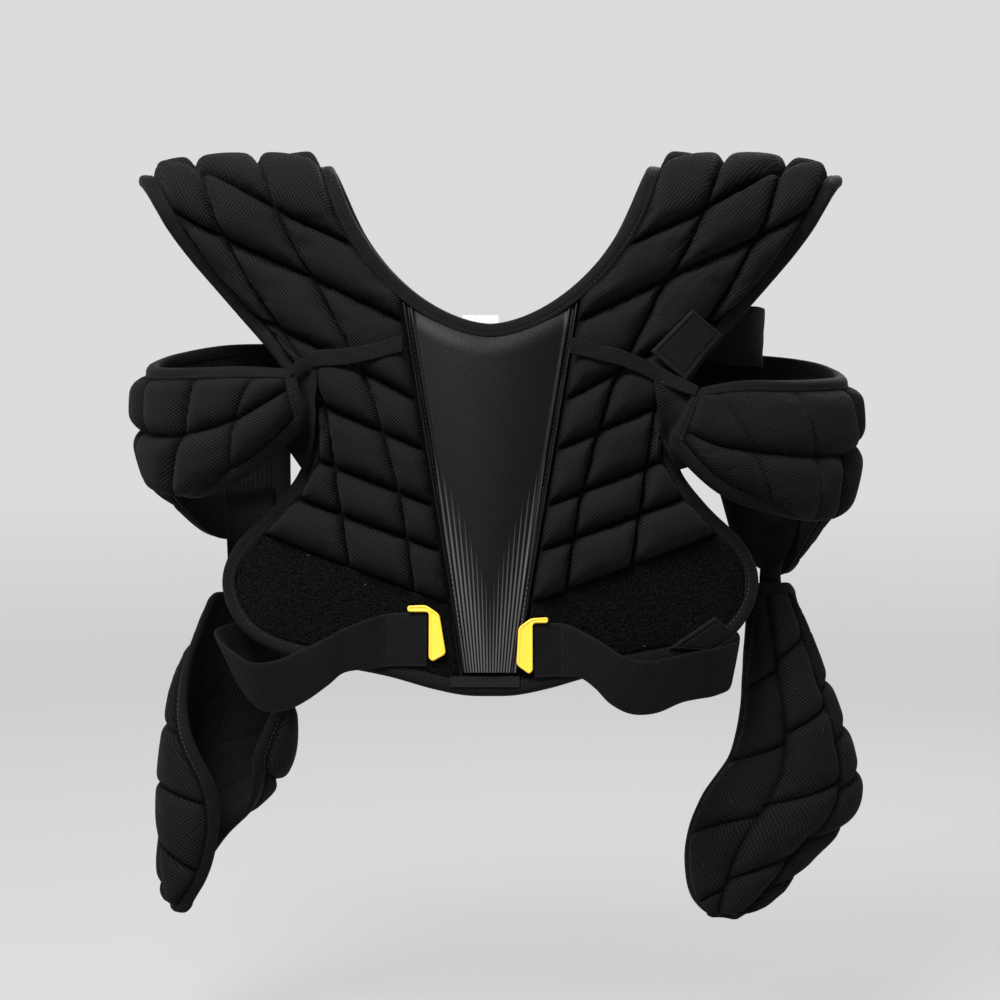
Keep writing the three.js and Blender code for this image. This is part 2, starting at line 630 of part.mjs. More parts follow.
// The tape's inner edge runs along the pad's own grid lines, so that the two never cross.
function shellBinding(shell, cells) {
  const inset = shellInset(shell, SHELL_BINDING_WIDTH);
  const pad = shellInset(shell, SHELL_BINDING_WIDTH + cells.gap);
  const round = (v) => cellLines(cells.round, cells.lines).map((u) => pad.a(u / cells.round, pad.b(v)));
  const down = cellLines(cells.down, cells.lines).map((v) => pad.b(v / cells.down));
  const innerTop = inset.b(0);
  const innerFoot = inset.b(1);
  const cut = SHELL_CORNER_CUT;
  const cornerRing = (u, v) => {
    const inner = [inset.a(u, inset.b(v)), inset.b(v)];
    return { outer: [lerp(u, inner[0], cut), lerp(v, inner[1], cut)], inner };
  };
  const loop = [
    ...round(0).map((a) => ({ outer: [a, 0], inner: [a, innerTop] })),
    cornerRing(1, 0),
    ...down.map((b) => ({ outer: [1, b], inner: [inset.a(1, b), b] })),
    cornerRing(1, 1),
    ...round(1).reverse().map((a) => ({ outer: [a, 1], inner: [a, innerFoot] })),
    cornerRing(0, 1),
    ...[...down].reverse().map((b) => ({ outer: [0, b], inner: [inset.a(0, b), b] })),
    cornerRing(0, 0),
  ];
  const rings = loop.map(({ outer, inner }) =>
    SHELL_BINDING_SECTION.map(({ share, lift }) =>
      shell(lerp(outer[0], inner[0], share), lerp(outer[1], inner[1], share), lift),
    ),
  );
  return sweptGeometry(rings, true);
}

const caps = {};
const biceps = {};
for (const [side, hand] of [[-1, "left"], [1, "right"]]) {
  const cap = capShell(hand, side);
  const bicep = bicepShell(hand);
  const inset = shellInset(cap, SHELL_BINDING_WIDTH + CAP_CELLS.gap);
  const liner = sheetGeometry(cellLines(CAP_CELLS.round), evenly(4), (u, v, face) =>
    cap(inset.a(u / CAP_CELLS.round, inset.b(v)), inset.b(v), face * CAP_LINER_TOP),
  );
  addPiece(`cap_liner_${hand}`, liner, "lining");
  addPiece(`cap_pad_${hand}`, shellPad(cap, CAP_CELLS, CAP_LAYERS), "mesh");
  addPiece(`cap_binding_${hand}`, shellBinding(cap, CAP_CELLS), "binding");
  addPiece(`bicep_pad_${hand}`, shellPad(bicep, BICEP_CELLS[hand], BICEP_LAYERS), "mesh");
  addPiece(`bicep_binding_${hand}`, shellBinding(bicep, BICEP_CELLS[hand]), "binding");
  caps[hand] = cap;
  biceps[hand] = bicep;
}

// A strap: a thin strip through rows that each give a point for a share of its width.
function stripGeometry(rows, columns, steps, thickness) {
  const curveAt = (u) => new THREE.CatmullRomCurve3(rows.map((row) => row(u)), false, "centripetal");
  const face = (u, v) => curveAt(u).getPoint(clamp(v, 0, 1));
  return sheetGeometry(evenly(columns), evenly(steps), (u, v, side) =>
    lifted(face, u, v, SHELL_STEP, SHELL_STEP, (side - 0.5) * thickness),
  );
}
const between = (top, foot) => (u) => top.clone().lerp(foot, u);
const across = ({ topX, topZ, footX, footZ, y }) =>
  between(new THREE.Vector3(topX, y, topZ), new THREE.Vector3(footX, y, footZ));
const onVest = (x, s, width, lift) =>
  between(vestPoint(x, s - width / 2, lift), vestPoint(x, s + width / 2, lift));

// Side straps: elastic from the loop panels, round the ribs, to the back panels
const STRAP_WIDTH = 32;
const STRAP_THICKNESS = 1.8;
const STRAP_LIFT = LOOP_TOP + 2 * CLOTH_GAP + STRAP_THICKNESS / 2;
const STRAP_BACK_LIFT = -2.3 - STRAP_THICKNESS / 2; // sewn to the inside of the back
const STRAP_FRONT = {
  left: [{ x: -37.4, s: 314.8 }, { x: -60, s: 315 }],
  right: [{ x: 26.4, s: 321.5 }, { x: 43, s: 321 }],
};
const STRAP_FREE = {
  left: [
    { topX: -74, topZ: -280, footX: -72, footZ: -310, y: -74 },
    { topX: -87, topZ: -285, footX: -88, footZ: -312, y: -78 },
    { topX: -99, topZ: -291, footX: -97, footZ: -319, y: -82 },
    { topX: -114, topZ: -298, footX: -108, footZ: -327, y: -84 },
    { topX: -128, topZ: -304, footX: -119, footZ: -333, y: -82 },
    { topX: -144, topZ: -306, footX: -133, footZ: -336, y: -75 },
    { topX: -158, topZ: -300, footX: -145, footZ: -332, y: -62 },
    { topX: -171, topZ: -291, footX: -156, footZ: -322, y: -44 },
    { topX: -168, topZ: -287, footX: -157, footZ: -318, y: -25 },
    { topX: -150, topZ: -284, footX: -147, footZ: -315, y: -17 },
    { topX: -133, topZ: -281, footX: -133, footZ: -312, y: -5 },
    { topX: -127, topZ: -279, footX: -128, footZ: -310, y: 14 },
  ],
  right: [
    { topX: 57, topZ: -288, footX: 54, footZ: -315, y: -77 },
    { topX: 68, topZ: -294, footX: 63, footZ: -321, y: -81 },
    { topX: 79, topZ: -301, footX: 72, footZ: -330, y: -84 },
    { topX: 91, topZ: -304, footX: 84, footZ: -336, y: -84 },
    { topX: 105, topZ: -303, footX: 99, footZ: -336, y: -81 },
    { topX: 122, topZ: -300, footX: 116, footZ: -330, y: -75 },
    { topX: 143, topZ: -297, footX: 135, footZ: -328, y: -62 },
    { topX: 155, topZ: -294, footX: 149, footZ: -325, y: -40 },
    { topX: 152, topZ: -288, footX: 149, footZ: -319, y: -15 },
    { topX: 138, topZ: -282, footX: 138, footZ: -313, y: 10 },
  ],
};
const STRAP_BACK = [{ x: 126, s: -296 }, { x: 104, s: -298 }];
const STRAP_STEPS = 30;

// Pull tabs: moulded angle pieces at the front ends of the straps
const PULL_TAB_FOOT = 8.7;
const PULL_TAB_TOP = 11.2;
const PULL_TABS = {
  left: [
    { x: -49, s: 294.5 },
    { x: -38, s: 294 },
    { x: -30, s: 299.5 },
    { x: -26, s: 323.5 },
    { x: -34, s: 328 },
    { x: -36.2, s: 326 },
    { x: -36.2, s: 298.2 },
    { x: -49, s: 298.2 },
  ],
  right: [
    { x: 34.3, s: 301.4 },
    { x: 24, s: 302 },
    { x: 16.8, s: 307.5 },
    { x: 15.6, s: 330 },
    { x: 23, s: 335.5 },
    { x: 25.2, s: 333.5 },
    { x: 25.2, s: 304.9 },
    { x: 34.3, s: 304.9 },
  ],
};

// Webbing, hook tab and strap end: flat pieces sewn on the chest
const SEWN_FOOT = PAD_TOP + CLOTH_GAP;
const WEBBING_WIDTH = 10;
const WEBBING_THICKNESS = 1.4;
const WEBBING_ROWS = {
  left: [{ x: -52, s: 134 }, { x: -70, s: 139 }, { x: -88, s: 142 }, { x: -110, s: 143 }],
  right: [{ x: 47, s: 135 }, { x: 62, s: 139 }, { x: 78, s: 143 }, { x: 97, s: 151 }],
};
const HOOK_TAB_THICKNESS = 2.5;
const HOOK_TAB = [{ x: 121, s: 109 }, { x: 139, s: 125 }, { x: 116, s: 157 }, { x: 95, s: 139 }];
const STRAP_END_THICKNESS = 1.6;
const STRAP_END = [{ x: 107, s: 321 }, { x: 136, s: 302 }, { x: 151, s: 315 }, { x: 138, s: 323 }];

// Gussets: knit mesh between the chest and the inner edge of a cap, as places on the chest
const GUSSETS = {
  left: { topX: -100, topS: 152, footX: -100, footS: 190 },
  right: { topX: 92, topS: 160, footX: 100, footS: 190 },
};
const GUSSET_THICKNESS = 1.2;
const GUSSET_TOP = 0.16; // share of the cap's inner edge where the gusset starts and ends
const GUSSET_END = 0.84;

// Bicep straps: elastic from the back of a cap down into a bicep pad, as spans of the two shells
const BICEP_STRAP_THICKNESS = 1.6;
const BICEP_STRAP_LIFT = -2.8; // inside the cap; seat is the same inside the bicep pad
const BICEP_STRAPS = {
  left: { capFrom: 0.91, capTo: 0.82, bicepFrom: 0.2, bicepTo: 0.72, seat: -2.3 },
  right: { capFrom: 0.9, capTo: 0.78, bicepFrom: 0.15, bicepTo: 0.85, seat: -2.8 },
};

for (const [side, hand] of [[-1, "left"], [1, "right"]]) {
  const strap = [
    ...STRAP_FRONT[hand].map(({ x, s }) => onVest(x, s, STRAP_WIDTH, STRAP_LIFT)),
    ...STRAP_FREE[hand].map(across),
    ...STRAP_BACK.map(({ x, s }) => {
      const sewn = onVest(side * x, s, STRAP_WIDTH, STRAP_BACK_LIFT);
      return (u) => sewn(1 - u);
    }),
  ];
  addPiece(`side_strap_${hand}`, stripGeometry(strap, 1, STRAP_STEPS, STRAP_THICKNESS), "elastic");

  const tabPoint = (x, s, face) => vestPoint(x, s, face ? PULL_TAB_TOP : PULL_TAB_FOOT);
  addPiece(`pull_tab_${hand}`, plateGeometry(PULL_TABS[hand], tabPoint), "pull_tab");

  const webbingLift = SEWN_FOOT + WEBBING_THICKNESS / 2;
  const webbing = WEBBING_ROWS[hand].map(({ x, s }) => onVest(x, s, WEBBING_WIDTH, webbingLift));
  addPiece(`webbing_${hand}`, stripGeometry(webbing, 1, 6, WEBBING_THICKNESS), "elastic");

  const { topX, topS, footX, footS } = GUSSETS[hand];
  const gussetLift = SEWN_FOOT + GUSSET_THICKNESS / 2;
  const gusset = evenly(3).map((t) => {
    const chest = vestPoint(lerp(topX, footX, t), lerp(topS, footS, t), gussetLift);
    const edge = caps[hand](0, lerp(GUSSET_TOP, GUSSET_END, t), SHELL_EDGE_MIDDLE);
    return between(chest, edge.add(new THREE.Vector3(-side * CLOTH_GAP, 0, 0)));
  });
  addPiece(`gusset_${hand}`, stripGeometry(gusset, 3, 4, GUSSET_THICKNESS), "mesh");

  const { capFrom, capTo, bicepFrom, bicepTo, seat } = BICEP_STRAPS[hand];
  const onCap = (b) => (u) => caps[hand](lerp(capFrom, capTo, u), b, BICEP_STRAP_LIFT);
  const onBicep = (b) => (u) => biceps[hand](lerp(bicepFrom, bicepTo, u), b, seat);
  const aboveBicep = (u) => onBicep(0)(u).add(new THREE.Vector3(0, 0, SHELL_BINDING_WIDTH));
  const bicepStrap = [onCap(0.76), onCap(0.86), aboveBicep, onBicep(0.04), onBicep(0.12)];
  addPiece(`bicep_strap_${hand}`, stripGeometry(bicepStrap, 4, 6, BICEP_STRAP_THICKNESS), "elastic");
}

const hookPoint = (x, s, face) => vestPoint(x, s, SEWN_FOOT + face * HOOK_TAB_THICKNESS);
addPiece("hook_tab", plateGeometry(HOOK_TAB, hookPoint), "loop");
const strapEndFoot = LOOP_TOP + 2 * CLOTH_GAP;
const strapEndPoint = (x, s, face) => vestPoint(x, s, strapEndFoot + face * STRAP_END_THICKNESS);
addPiece("strap_end", plateGeometry(STRAP_END, strapEndPoint), "elastic");

// Cap strap: behind the right shoulder, from inside the armhole binding to the back of the cap
const CAP_STRAP_THICKNESS = 1.6;
const CAP_STRAP_LIFT = BINDING_FOOT - 2 * CLOTH_GAP - CAP_STRAP_THICKNESS / 2;
const CAP_STRAP_FREE = [
  { topX: 169, topZ: -86, footX: 158, footZ: -111, y: -8 },
  { topX: 177, topZ: -88, footX: 170, footZ: -114, y: 8 },
];
const capStrap = [
  between(vestPoint(157, 104, CAP_STRAP_LIFT), vestPoint(139, 127, CAP_STRAP_LIFT)),
  ...CAP_STRAP_FREE.map(across),
  between(caps.right(0.86, -0.2, CAP_STRAP_LIFT), caps.right(0.86, 0.05, CAP_STRAP_LIFT)),
];
addPiece("cap_strap_right", stripGeometry(capStrap, 2, 8, CAP_STRAP_THICKNESS), "elastic");

// Labels: a woven one on the hem and a white one inside the back of the neck
const LABEL_THICKNESS = 0.8;
const HEM_LABEL = { x: -3, s: 340, width: 41, height: 6.5 };
const NECK_LABEL = { x: -7, s: -112, width: 24, height: 15 };
function labelGeometry({ x, s, width, height }, foot) {
  return sheetGeometry(evenly(4), evenly(1), (u, v, face) =>
    vestPoint(x + (u - 0.5) * width, s + (v - 0.5) * height, foot + face * LABEL_THICKNESS),
  );
}
addPiece("hem_label", labelGeometry(HEM_LABEL, BINDING_TOP + CLOTH_GAP), "label");
addPiece("neck_label", labelGeometry(NECK_LABEL, BINDING_FOOT - CLOTH_GAP - LABEL_THICKNESS), "care_label");

export default vest;
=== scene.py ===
import math

import bpy
import numpy as np
from mathutils.geometry import tessellate_polygon
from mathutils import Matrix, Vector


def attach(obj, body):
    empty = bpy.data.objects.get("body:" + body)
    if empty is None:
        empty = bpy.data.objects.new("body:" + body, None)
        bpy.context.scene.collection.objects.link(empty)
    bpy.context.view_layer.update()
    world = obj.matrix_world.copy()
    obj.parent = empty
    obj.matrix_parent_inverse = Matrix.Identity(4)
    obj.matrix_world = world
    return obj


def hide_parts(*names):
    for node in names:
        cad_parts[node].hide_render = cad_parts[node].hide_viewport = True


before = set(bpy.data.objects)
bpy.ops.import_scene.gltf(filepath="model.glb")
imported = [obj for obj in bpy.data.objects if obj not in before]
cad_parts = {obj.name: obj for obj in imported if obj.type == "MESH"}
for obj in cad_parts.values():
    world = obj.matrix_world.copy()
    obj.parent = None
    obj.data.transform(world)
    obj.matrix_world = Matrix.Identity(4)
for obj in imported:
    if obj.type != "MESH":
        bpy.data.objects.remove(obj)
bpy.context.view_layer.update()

# Camera, light and floor
# The camera stands level with the chest, square to the hanging vest, as the photograph was taken.
# A wide pale bowl is floor and backdrop in one. One soft light stands in front and one behind.
MM = 0.001
CAMERA_AT = (6, -1160, -208)
HALF_VIEW = 322.5  # half of what the picture spans at the shoulders
SENSOR = 36

camera_data = bpy.data.cameras.new("camera")
camera_data.sensor_width = SENSOR
camera_data.lens = SENSOR / 2 * -CAMERA_AT[1] / HALF_VIEW
camera = bpy.data.objects.new("camera", camera_data)
camera.location = [value * MM for value in CAMERA_AT]
camera.rotation_euler = (math.radians(90), 0, 0)
bpy.context.scene.collection.objects.link(camera)
bpy.context.scene.camera = camera
bpy.context.scene.view_settings.view_transform = "Standard"


def put(tree, kind, inputs=None, **settings):
    """A node with its settings, whose inputs are constants or other nodes' outputs."""
    node = tree.nodes.new(kind)
    for name, value in settings.items():
        setattr(node, name, value)
    for name, value in (inputs or {}).items():
        if isinstance(value, bpy.types.NodeSocket):
            tree.links.new(value, node.inputs[name])
        else:
            node.inputs[name].default_value = value
    return node


def new_material(name, **shader_inputs):
    """A material with one Principled shader, and the constants set on its sockets."""
    material = bpy.data.materials.new(name)
    material.use_nodes = True
    shader = material.node_tree.nodes["Principled BSDF"]
    for socket, value in shader_inputs.items():
        shader.inputs[socket.replace("_", " ")].default_value = value
    return material, material.node_tree, shader


def split(tree, vector):
    return put(tree, "ShaderNodeSeparateXYZ", {"Vector": vector})


def blend_colours(tree, share, first, second):
    """A colour between two, each a constant or another node's output."""
    node = put(tree, "ShaderNodeMix", {0: share, 6: first, 7: second}, data_type="RGBA")
    return node.outputs[2]


SHARP_FROM = 60


def new_object(name, points, faces, materials, sharp_from=SHARP_FROM):
    """A smooth mesh object from points in metres, with a crease where faces meet at a sharp angle."""
    mesh = bpy.data.meshes.new(name)
    mesh.from_pydata(points, [], faces)
    for material in materials:
        mesh.materials.append(material)
    mesh.polygons.foreach_set("use_smooth", [True] * len(faces))
    mesh.set_sharp_from_angle(angle=math.radians(sharp_from))
    made = bpy.data.objects.new(name, mesh)
    bpy.context.scene.collection.objects.link(made)
    return made


def grid_quads(rows, columns, wrap_rows=False, wrap_columns=False):
    """Quads of a grid of points, which may close on itself either way."""
    index = np.arange(rows * columns).reshape(rows, columns)
    index = np.pad(index, ((0, int(wrap_rows)), (0, int(wrap_columns))), mode="wrap")
    corners = [index[:-1, :-1], index[:-1, 1:], index[1:, 1:], index[1:, :-1]]
    return np.stack(corners, axis=-1).reshape(-1, 4)


STAGE_COLOUR = (0.1, 0.099, 0.098, 1)
STAGE_GLOW = [(0.8, 0.8, 0.805, 1), (1, 0.985, 0.98, 1)]  # at the floor and higher up
FLOOR_Z = -0.56
GLOW_TOP_Z = -0.2
BOWL_PROFILE = [(2.2, 0.0), (2.6, 0.06), (3.0, 0.3), (3.25, 0.75), (3.3, 1.4), (3.3, 3.2)]
BOWL_SIDES = 96

bowl_turns = np.arange(BOWL_SIDES) * 2 * math.pi / BOWL_SIDES
bowl_points = [
    (radius * math.cos(turn), radius * math.sin(turn), FLOOR_Z + height)
    for radius, height in BOWL_PROFILE
    for turn in bowl_turns
]
bowl_walls = grid_quads(len(BOWL_PROFILE), BOWL_SIDES, wrap_columns=True)
bowl_faces = [list(range(BOWL_SIDES)), *bowl_walls[:, [0, 3, 2, 1]].tolist()]  # the walls face inwards
# Painted light: the bowl glows, dimmer at the floor than higher up, and its glow also lights the vest.
stage_material, stage_tree, stage_shader = new_material(
    "stage_paint", Base_Color=STAGE_COLOUR, Roughness=0.9, Emission_Strength=0.64,
)
stage_place = put(stage_tree, "ShaderNodeTexCoord")
stage_height = split(stage_tree, stage_place.outputs["Object"])
stage_share = put(
    stage_tree, "ShaderNodeMapRange",
    {"Value": stage_height.outputs["Z"], "From Min": FLOOR_Z, "From Max": GLOW_TOP_Z},
)
stage_glow = blend_colours(stage_tree, stage_share.outputs["Result"], *STAGE_GLOW)
stage_tree.links.new(stage_glow, stage_shader.inputs["Emission Color"])
stage_material.cycles.emission_sampling = "NONE"
new_object("studio_bowl", bowl_points, bowl_faces, [stage_material])

LIGHTS = [
    {"name": "key", "at": (-0.42, -0.82, 0.85), "size": 0.6, "power": 37},
    {"name": "behind", "at": (0.4, 1.1, 0.9), "size": 0.9, "power": 13},
]
LIGHT_AIM = np.array([0, 0, -0.2])
for light in LIGHTS:
    lamp_data = bpy.data.lights.new(light["name"] + "_light", "AREA")
    lamp_data.size = light["size"]
    lamp_data.energy = light["power"]
    lamp = bpy.data.objects.new(light["name"] + "_light", lamp_data)
    lamp.location = light["at"]
    toward = Vector(LIGHT_AIM - np.array(light["at"]))
    lamp.rotation_euler = toward.to_track_quat("-Z", "Y").to_euler()
    bpy.context.scene.collection.objects.link(lamp)
world = bpy.data.worlds.new("studio")
world.use_nodes = True
world.node_tree.nodes["Background"].inputs["Color"].default_value = (0.95, 0.97, 1, 1)
world.node_tree.nodes["Background"].inputs["Strength"].default_value = 0.3
bpy.context.scene.world = world

# Vest linings
# The lining is the inside of the vest: ribbed black cloth 3 mm thick, one panel for the chest and one
# for the back, sewn together over the shoulders. The vest is drawn as a flat pattern, x across it and
# s along it from the shoulder fold, positive down the chest and negative down the back, then draped.
FOLD_RADIUS = 34
CHEST_LEAN = math.radians(7)
BACK_LEAN = math.radians(4)
CHEST_WRAP = 34
BACK_WRAP = 24
WRAP_AT = 180
WRAP_STARTS = 20
WRAP_FULL = 140
SHOULDER_SLOPE = 0.05
SLOPE_STARTS_AT = 100
SLOPE_ENDS = 200
LINER_TOP = 3
LAYER_GAP = 0.8
PAD_FOOT = LINER_TOP + LAYER_GAP
BINDING_WIDTH = 9
BOUND_EDGE = BINDING_WIDTH - 0.3  # the layers go a little way into the fold of the tape
LINER_EDGE = BINDING_WIDTH - 1.2
CLOTH_GAP = 0.3
VEST_EDGE = {
    "x": [0, 16, 36, 62, 95, 127, 149, 162, 166, 157, 134, 118, 113, 118, 134, 163, 194, 213, 224, 226],
    "s": [348.6, 348, 344, 337, 331, 325, 314, 297, 277, 256, 233, 212, 192, 166, 140, 104, 65, 35, 12, 0],
}
NECK_HALF_WIDTH = 100
NECK_FRONT_DROP = 119
NECK_BACK_DROP = 111
NECK_ROUNDNESS = 1.7
SIDES = [(-1, "left"), (1, "right")]


def smooth_step(value, low, high):
    share = np.clip((value - low) / (high - low), 0, 1)
    return share * share * (3 - 2 * share)


def mix(start, end, share):
    return start + (end - start) * share


def vest_face(x, s):
    """The inside face of the vest at places of the pattern."""
    along = np.abs(s)
    front = s >= 0
    lean = np.where(front, CHEST_LEAN, BACK_LEAN)
    fold_angle = math.pi / 2 - lean
    angle = np.minimum(along / FOLD_RADIUS, fold_angle)
    beyond = np.maximum(along - FOLD_RADIUS * fold_angle, 0)
    wrap = np.where(front, CHEST_WRAP, BACK_WRAP) * (x / WRAP_AT) ** 2
    wrap = wrap * smooth_step(along, WRAP_STARTS, WRAP_FULL)
    depth = FOLD_RADIUS * np.sin(angle) + beyond * np.sin(lean) - wrap
    slope = SHOULDER_SLOPE * (1 - smooth_step(along, 0, SLOPE_ENDS))
    drop = FOLD_RADIUS * (1 - np.cos(angle)) + beyond * np.cos(lean)
    drop = drop + slope * np.maximum(np.abs(x) - SLOPE_STARTS_AT, 0)
    return np.stack([x + 0 * s, np.where(front, -depth, depth), -drop], axis=-1)


def unit(vectors):
    return vectors / np.maximum(np.linalg.norm(vectors, axis=-1, keepdims=True), 1e-9)


def lifted(face, u, v, step, lift):
    """Points at a height above a surface, along its normal."""
    along_u = face(u + step, v) - face(u - step, v)
    along_v = face(u, v + step) - face(u, v - step)
    return face(u, v) + unit(np.cross(along_v, along_u)) * np.asarray(lift)[..., None]


def same_shape(*values):
    return np.broadcast_arrays(*(np.asarray(value, float) for value in values))


def vest_point(x, s, lift):
    x, s, lift = same_shape(x, s, lift)
    return lifted(vest_face, x, s, 0.5, lift)


def neck_x(s, grow):
    drop = np.where(s >= 0, NECK_FRONT_DROP, NECK_BACK_DROP) + grow
    share = np.minimum(np.abs(s) / drop, 1)
    return (NECK_HALF_WIDTH + grow) * (1 - share**NECK_ROUNDNESS) ** (1 / NECK_ROUNDNESS)


def neck_s(x, grow):
    share = np.minimum(np.abs(x) / (NECK_HALF_WIDTH + grow), 1)
    return (NECK_FRONT_DROP + grow) * (1 - share**NECK_ROUNDNESS) ** (1 / NECK_ROUNDNESS)


def smooth_line(points, per_span):
    """A curve through points, with equal parts in each span."""
    points = np.asarray(points, float)
    last = len(points) - 1
    place = np.linspace(0, last, last * per_span + 1)
    span = np.minimum(place.astype(int), last - 1)
    t = (place - span)[:, None]
    p0, p1 = points[np.maximum(span - 1, 0)], points[span]
    p2, p3 = points[span + 1], points[np.minimum(span + 2, last)]
    cubic = (2 * p1 - 2 * p2 + (p2 - p0) / 2 + (p3 - p1) / 2) * t**3
    square = (-3 * p1 + 3 * p2 - (p2 - p0) - (p3 - p1) / 2) * t**2
    return cubic + square + (p2 - p0) / 2 * t + p1


def run_along(points, axis=0):
    """The distance run along lines of points."""
    steps = np.diff(points, axis=axis, prepend=np.take(points, [0], axis=axis))
    return np.cumsum(np.linalg.norm(steps, axis=-1), axis=axis)


def at_run(at, run, values):
    """Rows of values that go with the points of a line, at distances run along it."""
    return np.stack([np.interp(at, run, column) for column in values.T], axis=-1)


def evenly_along(line, count):
    """Points at equal distances along a line."""
    run = run_along(line)
    return at_run(np.linspace(0, run[-1], count), run, line)


def edge_points(count):
    """Places on the vest's edge, from the hem to the shoulder, and the way inwards from each."""
    line = smooth_line(np.stack([VEST_EDGE["x"], VEST_EDGE["s"]], axis=-1), 24)
    places = evenly_along(line, count)
    ahead = unit(np.gradient(places, axis=0))
    return places, np.stack([ahead[:, 1], -ahead[:, 0]], axis=-1)


HIP_BELOW = 230
WAIST_BELOW = 150
edge_places, edge_inwards = edge_points(400)
inset_edge = edge_places + edge_inwards * BOUND_EDGE
inset_x, inset_s = np.maximum(inset_edge[:, 0], 0), inset_edge[:, 1]
corner = int(np.argmax(np.where(inset_s > HIP_BELOW, inset_x, 0)))
waist = corner + int(np.argmin(np.where(inset_s[corner:] > WAIST_BELOW, inset_x[corner:], np.inf)))


def outer_x(s):
    return np.interp(np.abs(s), inset_s[::-1], inset_x[::-1])


def hem_s(x):
    return np.interp(x, inset_x[: corner + 1], inset_s[: corner + 1])


def armhole_s(x):
    return np.interp(x, inset_x[corner : waist + 1][::-1], inset_s[corner : waist + 1][::-1])


def make_piece(name, points, faces, materials, material_of=None, marks=None):
    """A closed mesh object from points in millimetres, with named marks kept on its points."""
    faces = np.asarray(faces)
    a, b, c = (points[faces[:, i]] for i in range(3))
    if np.einsum("ij,ij->", a, np.cross(b, c)) < 0:
        faces = faces[:, ::-1]
    piece = new_object(name, (points * MM).tolist(), faces.tolist(), materials)
    for mark, values in (marks or {}).items():
        kind, field = ("FLOAT_VECTOR", "vector") if values.ndim == 2 else ("FLOAT", "value")
        layer = piece.data.attributes.new(mark, kind, "POINT")
        layer.data.foreach_set(field, values.astype(np.float32).ravel())
    if material_of is not None:
        piece.data.polygons.foreach_set("material_index", np.asarray(material_of, np.int32))
    return piece


def sheet_faces(rows, columns):
    """Quads of a closed sheet, outer grid first and inner grid after it, and which of them lie inside."""
    size = rows * columns
    index = np.arange(size).reshape(rows, columns)
    face = grid_quads(rows, columns)
    rim = np.concatenate([index[0], index[1:, -1], index[-1, -2::-1], index[-2:0:-1, 0]])
    after = np.roll(rim, -1)
    edge = np.stack([after, rim, rim + size, after + size], axis=-1)
    is_inside = np.repeat([0, 1, 0], [len(face), len(face), len(edge)])
    return np.concatenate([face, face[:, ::-1] + size, edge]), is_inside


def sheet_piece(name, sheets, materials, **marks):
    """Closed sheets, each an outer and an inner grid of points with the flat places of its cloth.
    A second material, where there is one, lines the inside."""
    points, faces, inside, flat = [], [], [], []
    for outer, inner, places in sheets:
        sheet, is_inside = sheet_faces(*outer.shape[:2])
        faces.append(sheet + sum(len(block) for block in points))
        inside.append(np.minimum(is_inside, len(materials) - 1))
        points += [outer.reshape(-1, 3), inner.reshape(-1, 3)]
        flat += [places.reshape(-1, 2)] * 2
    flat = np.concatenate(flat)
    kept = {"cloth_place": np.concatenate([flat, np.zeros((len(flat), 1))], axis=1)}
    for mark, values in marks.items():
        kept[mark] = np.concatenate([values.reshape(-1, *values.shape[2:])] * 2)
    return make_piece(
        name, np.concatenate(points), np.concatenate(faces), materials, np.concatenate(inside), kept,
    )


def sew_on(piece, node, slot, fill=None, **sheet):
    """The piece stands for its CAD solid and moves with the vest. Its slot, fill and sheet are not used."""
    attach(piece, "root")
    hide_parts(node)


def effect(name, inputs, outputs):
    """An empty shader group with named value and colour sockets."""
    tree = bpy.data.node_groups.new(name, "ShaderNodeTree")
    for in_out, sockets in (("INPUT", inputs), ("OUTPUT", outputs)):
        for socket, kind in sockets.items():
            tree.interface.new_socket(name=socket, in_out=in_out, socket_type="NodeSocket" + kind)
    return tree, tree.nodes.new("NodeGroupInput").outputs, tree.nodes.new("NodeGroupOutput").inputs


def calc(tree, operation, *values):
    return put(tree, "ShaderNodeMath", dict(enumerate(values)), operation=operation).outputs[0]


def noise(tree, place, scale, detail):
    return put(tree, "ShaderNodeTexNoise", {"Vector": place, "Scale": scale, "Detail": detail})


def kept_mark(tree, name):
    return put(tree, "ShaderNodeAttribute", attribute_name=name)


def raise_surface(tree, shader, height, depth):
    """Bumps of a shader's surface, as deep as given in millimetres."""
    bump = put(tree, "ShaderNodeBump", {"Height": height, "Distance": depth * MM})
    tree.links.new(bump.outputs["Normal"], shader.inputs["Normal"])


def wave(tree, value):
    """A cosine of whole turns, raised to run from 0 to 1."""
    turns = calc(tree, "COSINE", calc(tree, "MULTIPLY", value, 2 * math.pi))
    return calc(tree, "MULTIPLY_ADD", turns, 0.5, 0.5)


def make_rib_weave():
    """Fine ribs along the cloth, crossed by a finer thread."""
    tree, given, result = effect(
        "rib_weave",
        {"Place": "Vector", "Rib": "Float", "Thread": "Float"},
        {"Height": "Float", "Shade": "Float"},
    )
    loose = noise(tree, given["Place"], 0.8, 0.0)
    place = split(tree, given["Place"])
    drift = calc(tree, "MULTIPLY_ADD", loose.outputs["Fac"], 0.5, place.outputs["X"])
    rib = wave(tree, calc(tree, "DIVIDE", drift, given["Rib"]))
    thread = wave(tree, calc(tree, "DIVIDE", place.outputs["Y"], given["Thread"]))
    height = calc(tree, "MULTIPLY_ADD", thread, 0.35, rib)
    tree.links.new(calc(tree, "MULTIPLY", height, 0.74), result["Height"])
    tree.links.new(calc(tree, "MULTIPLY_ADD", height, 0.5, loose.outputs["Fac"]), result["Shade"])
    return tree


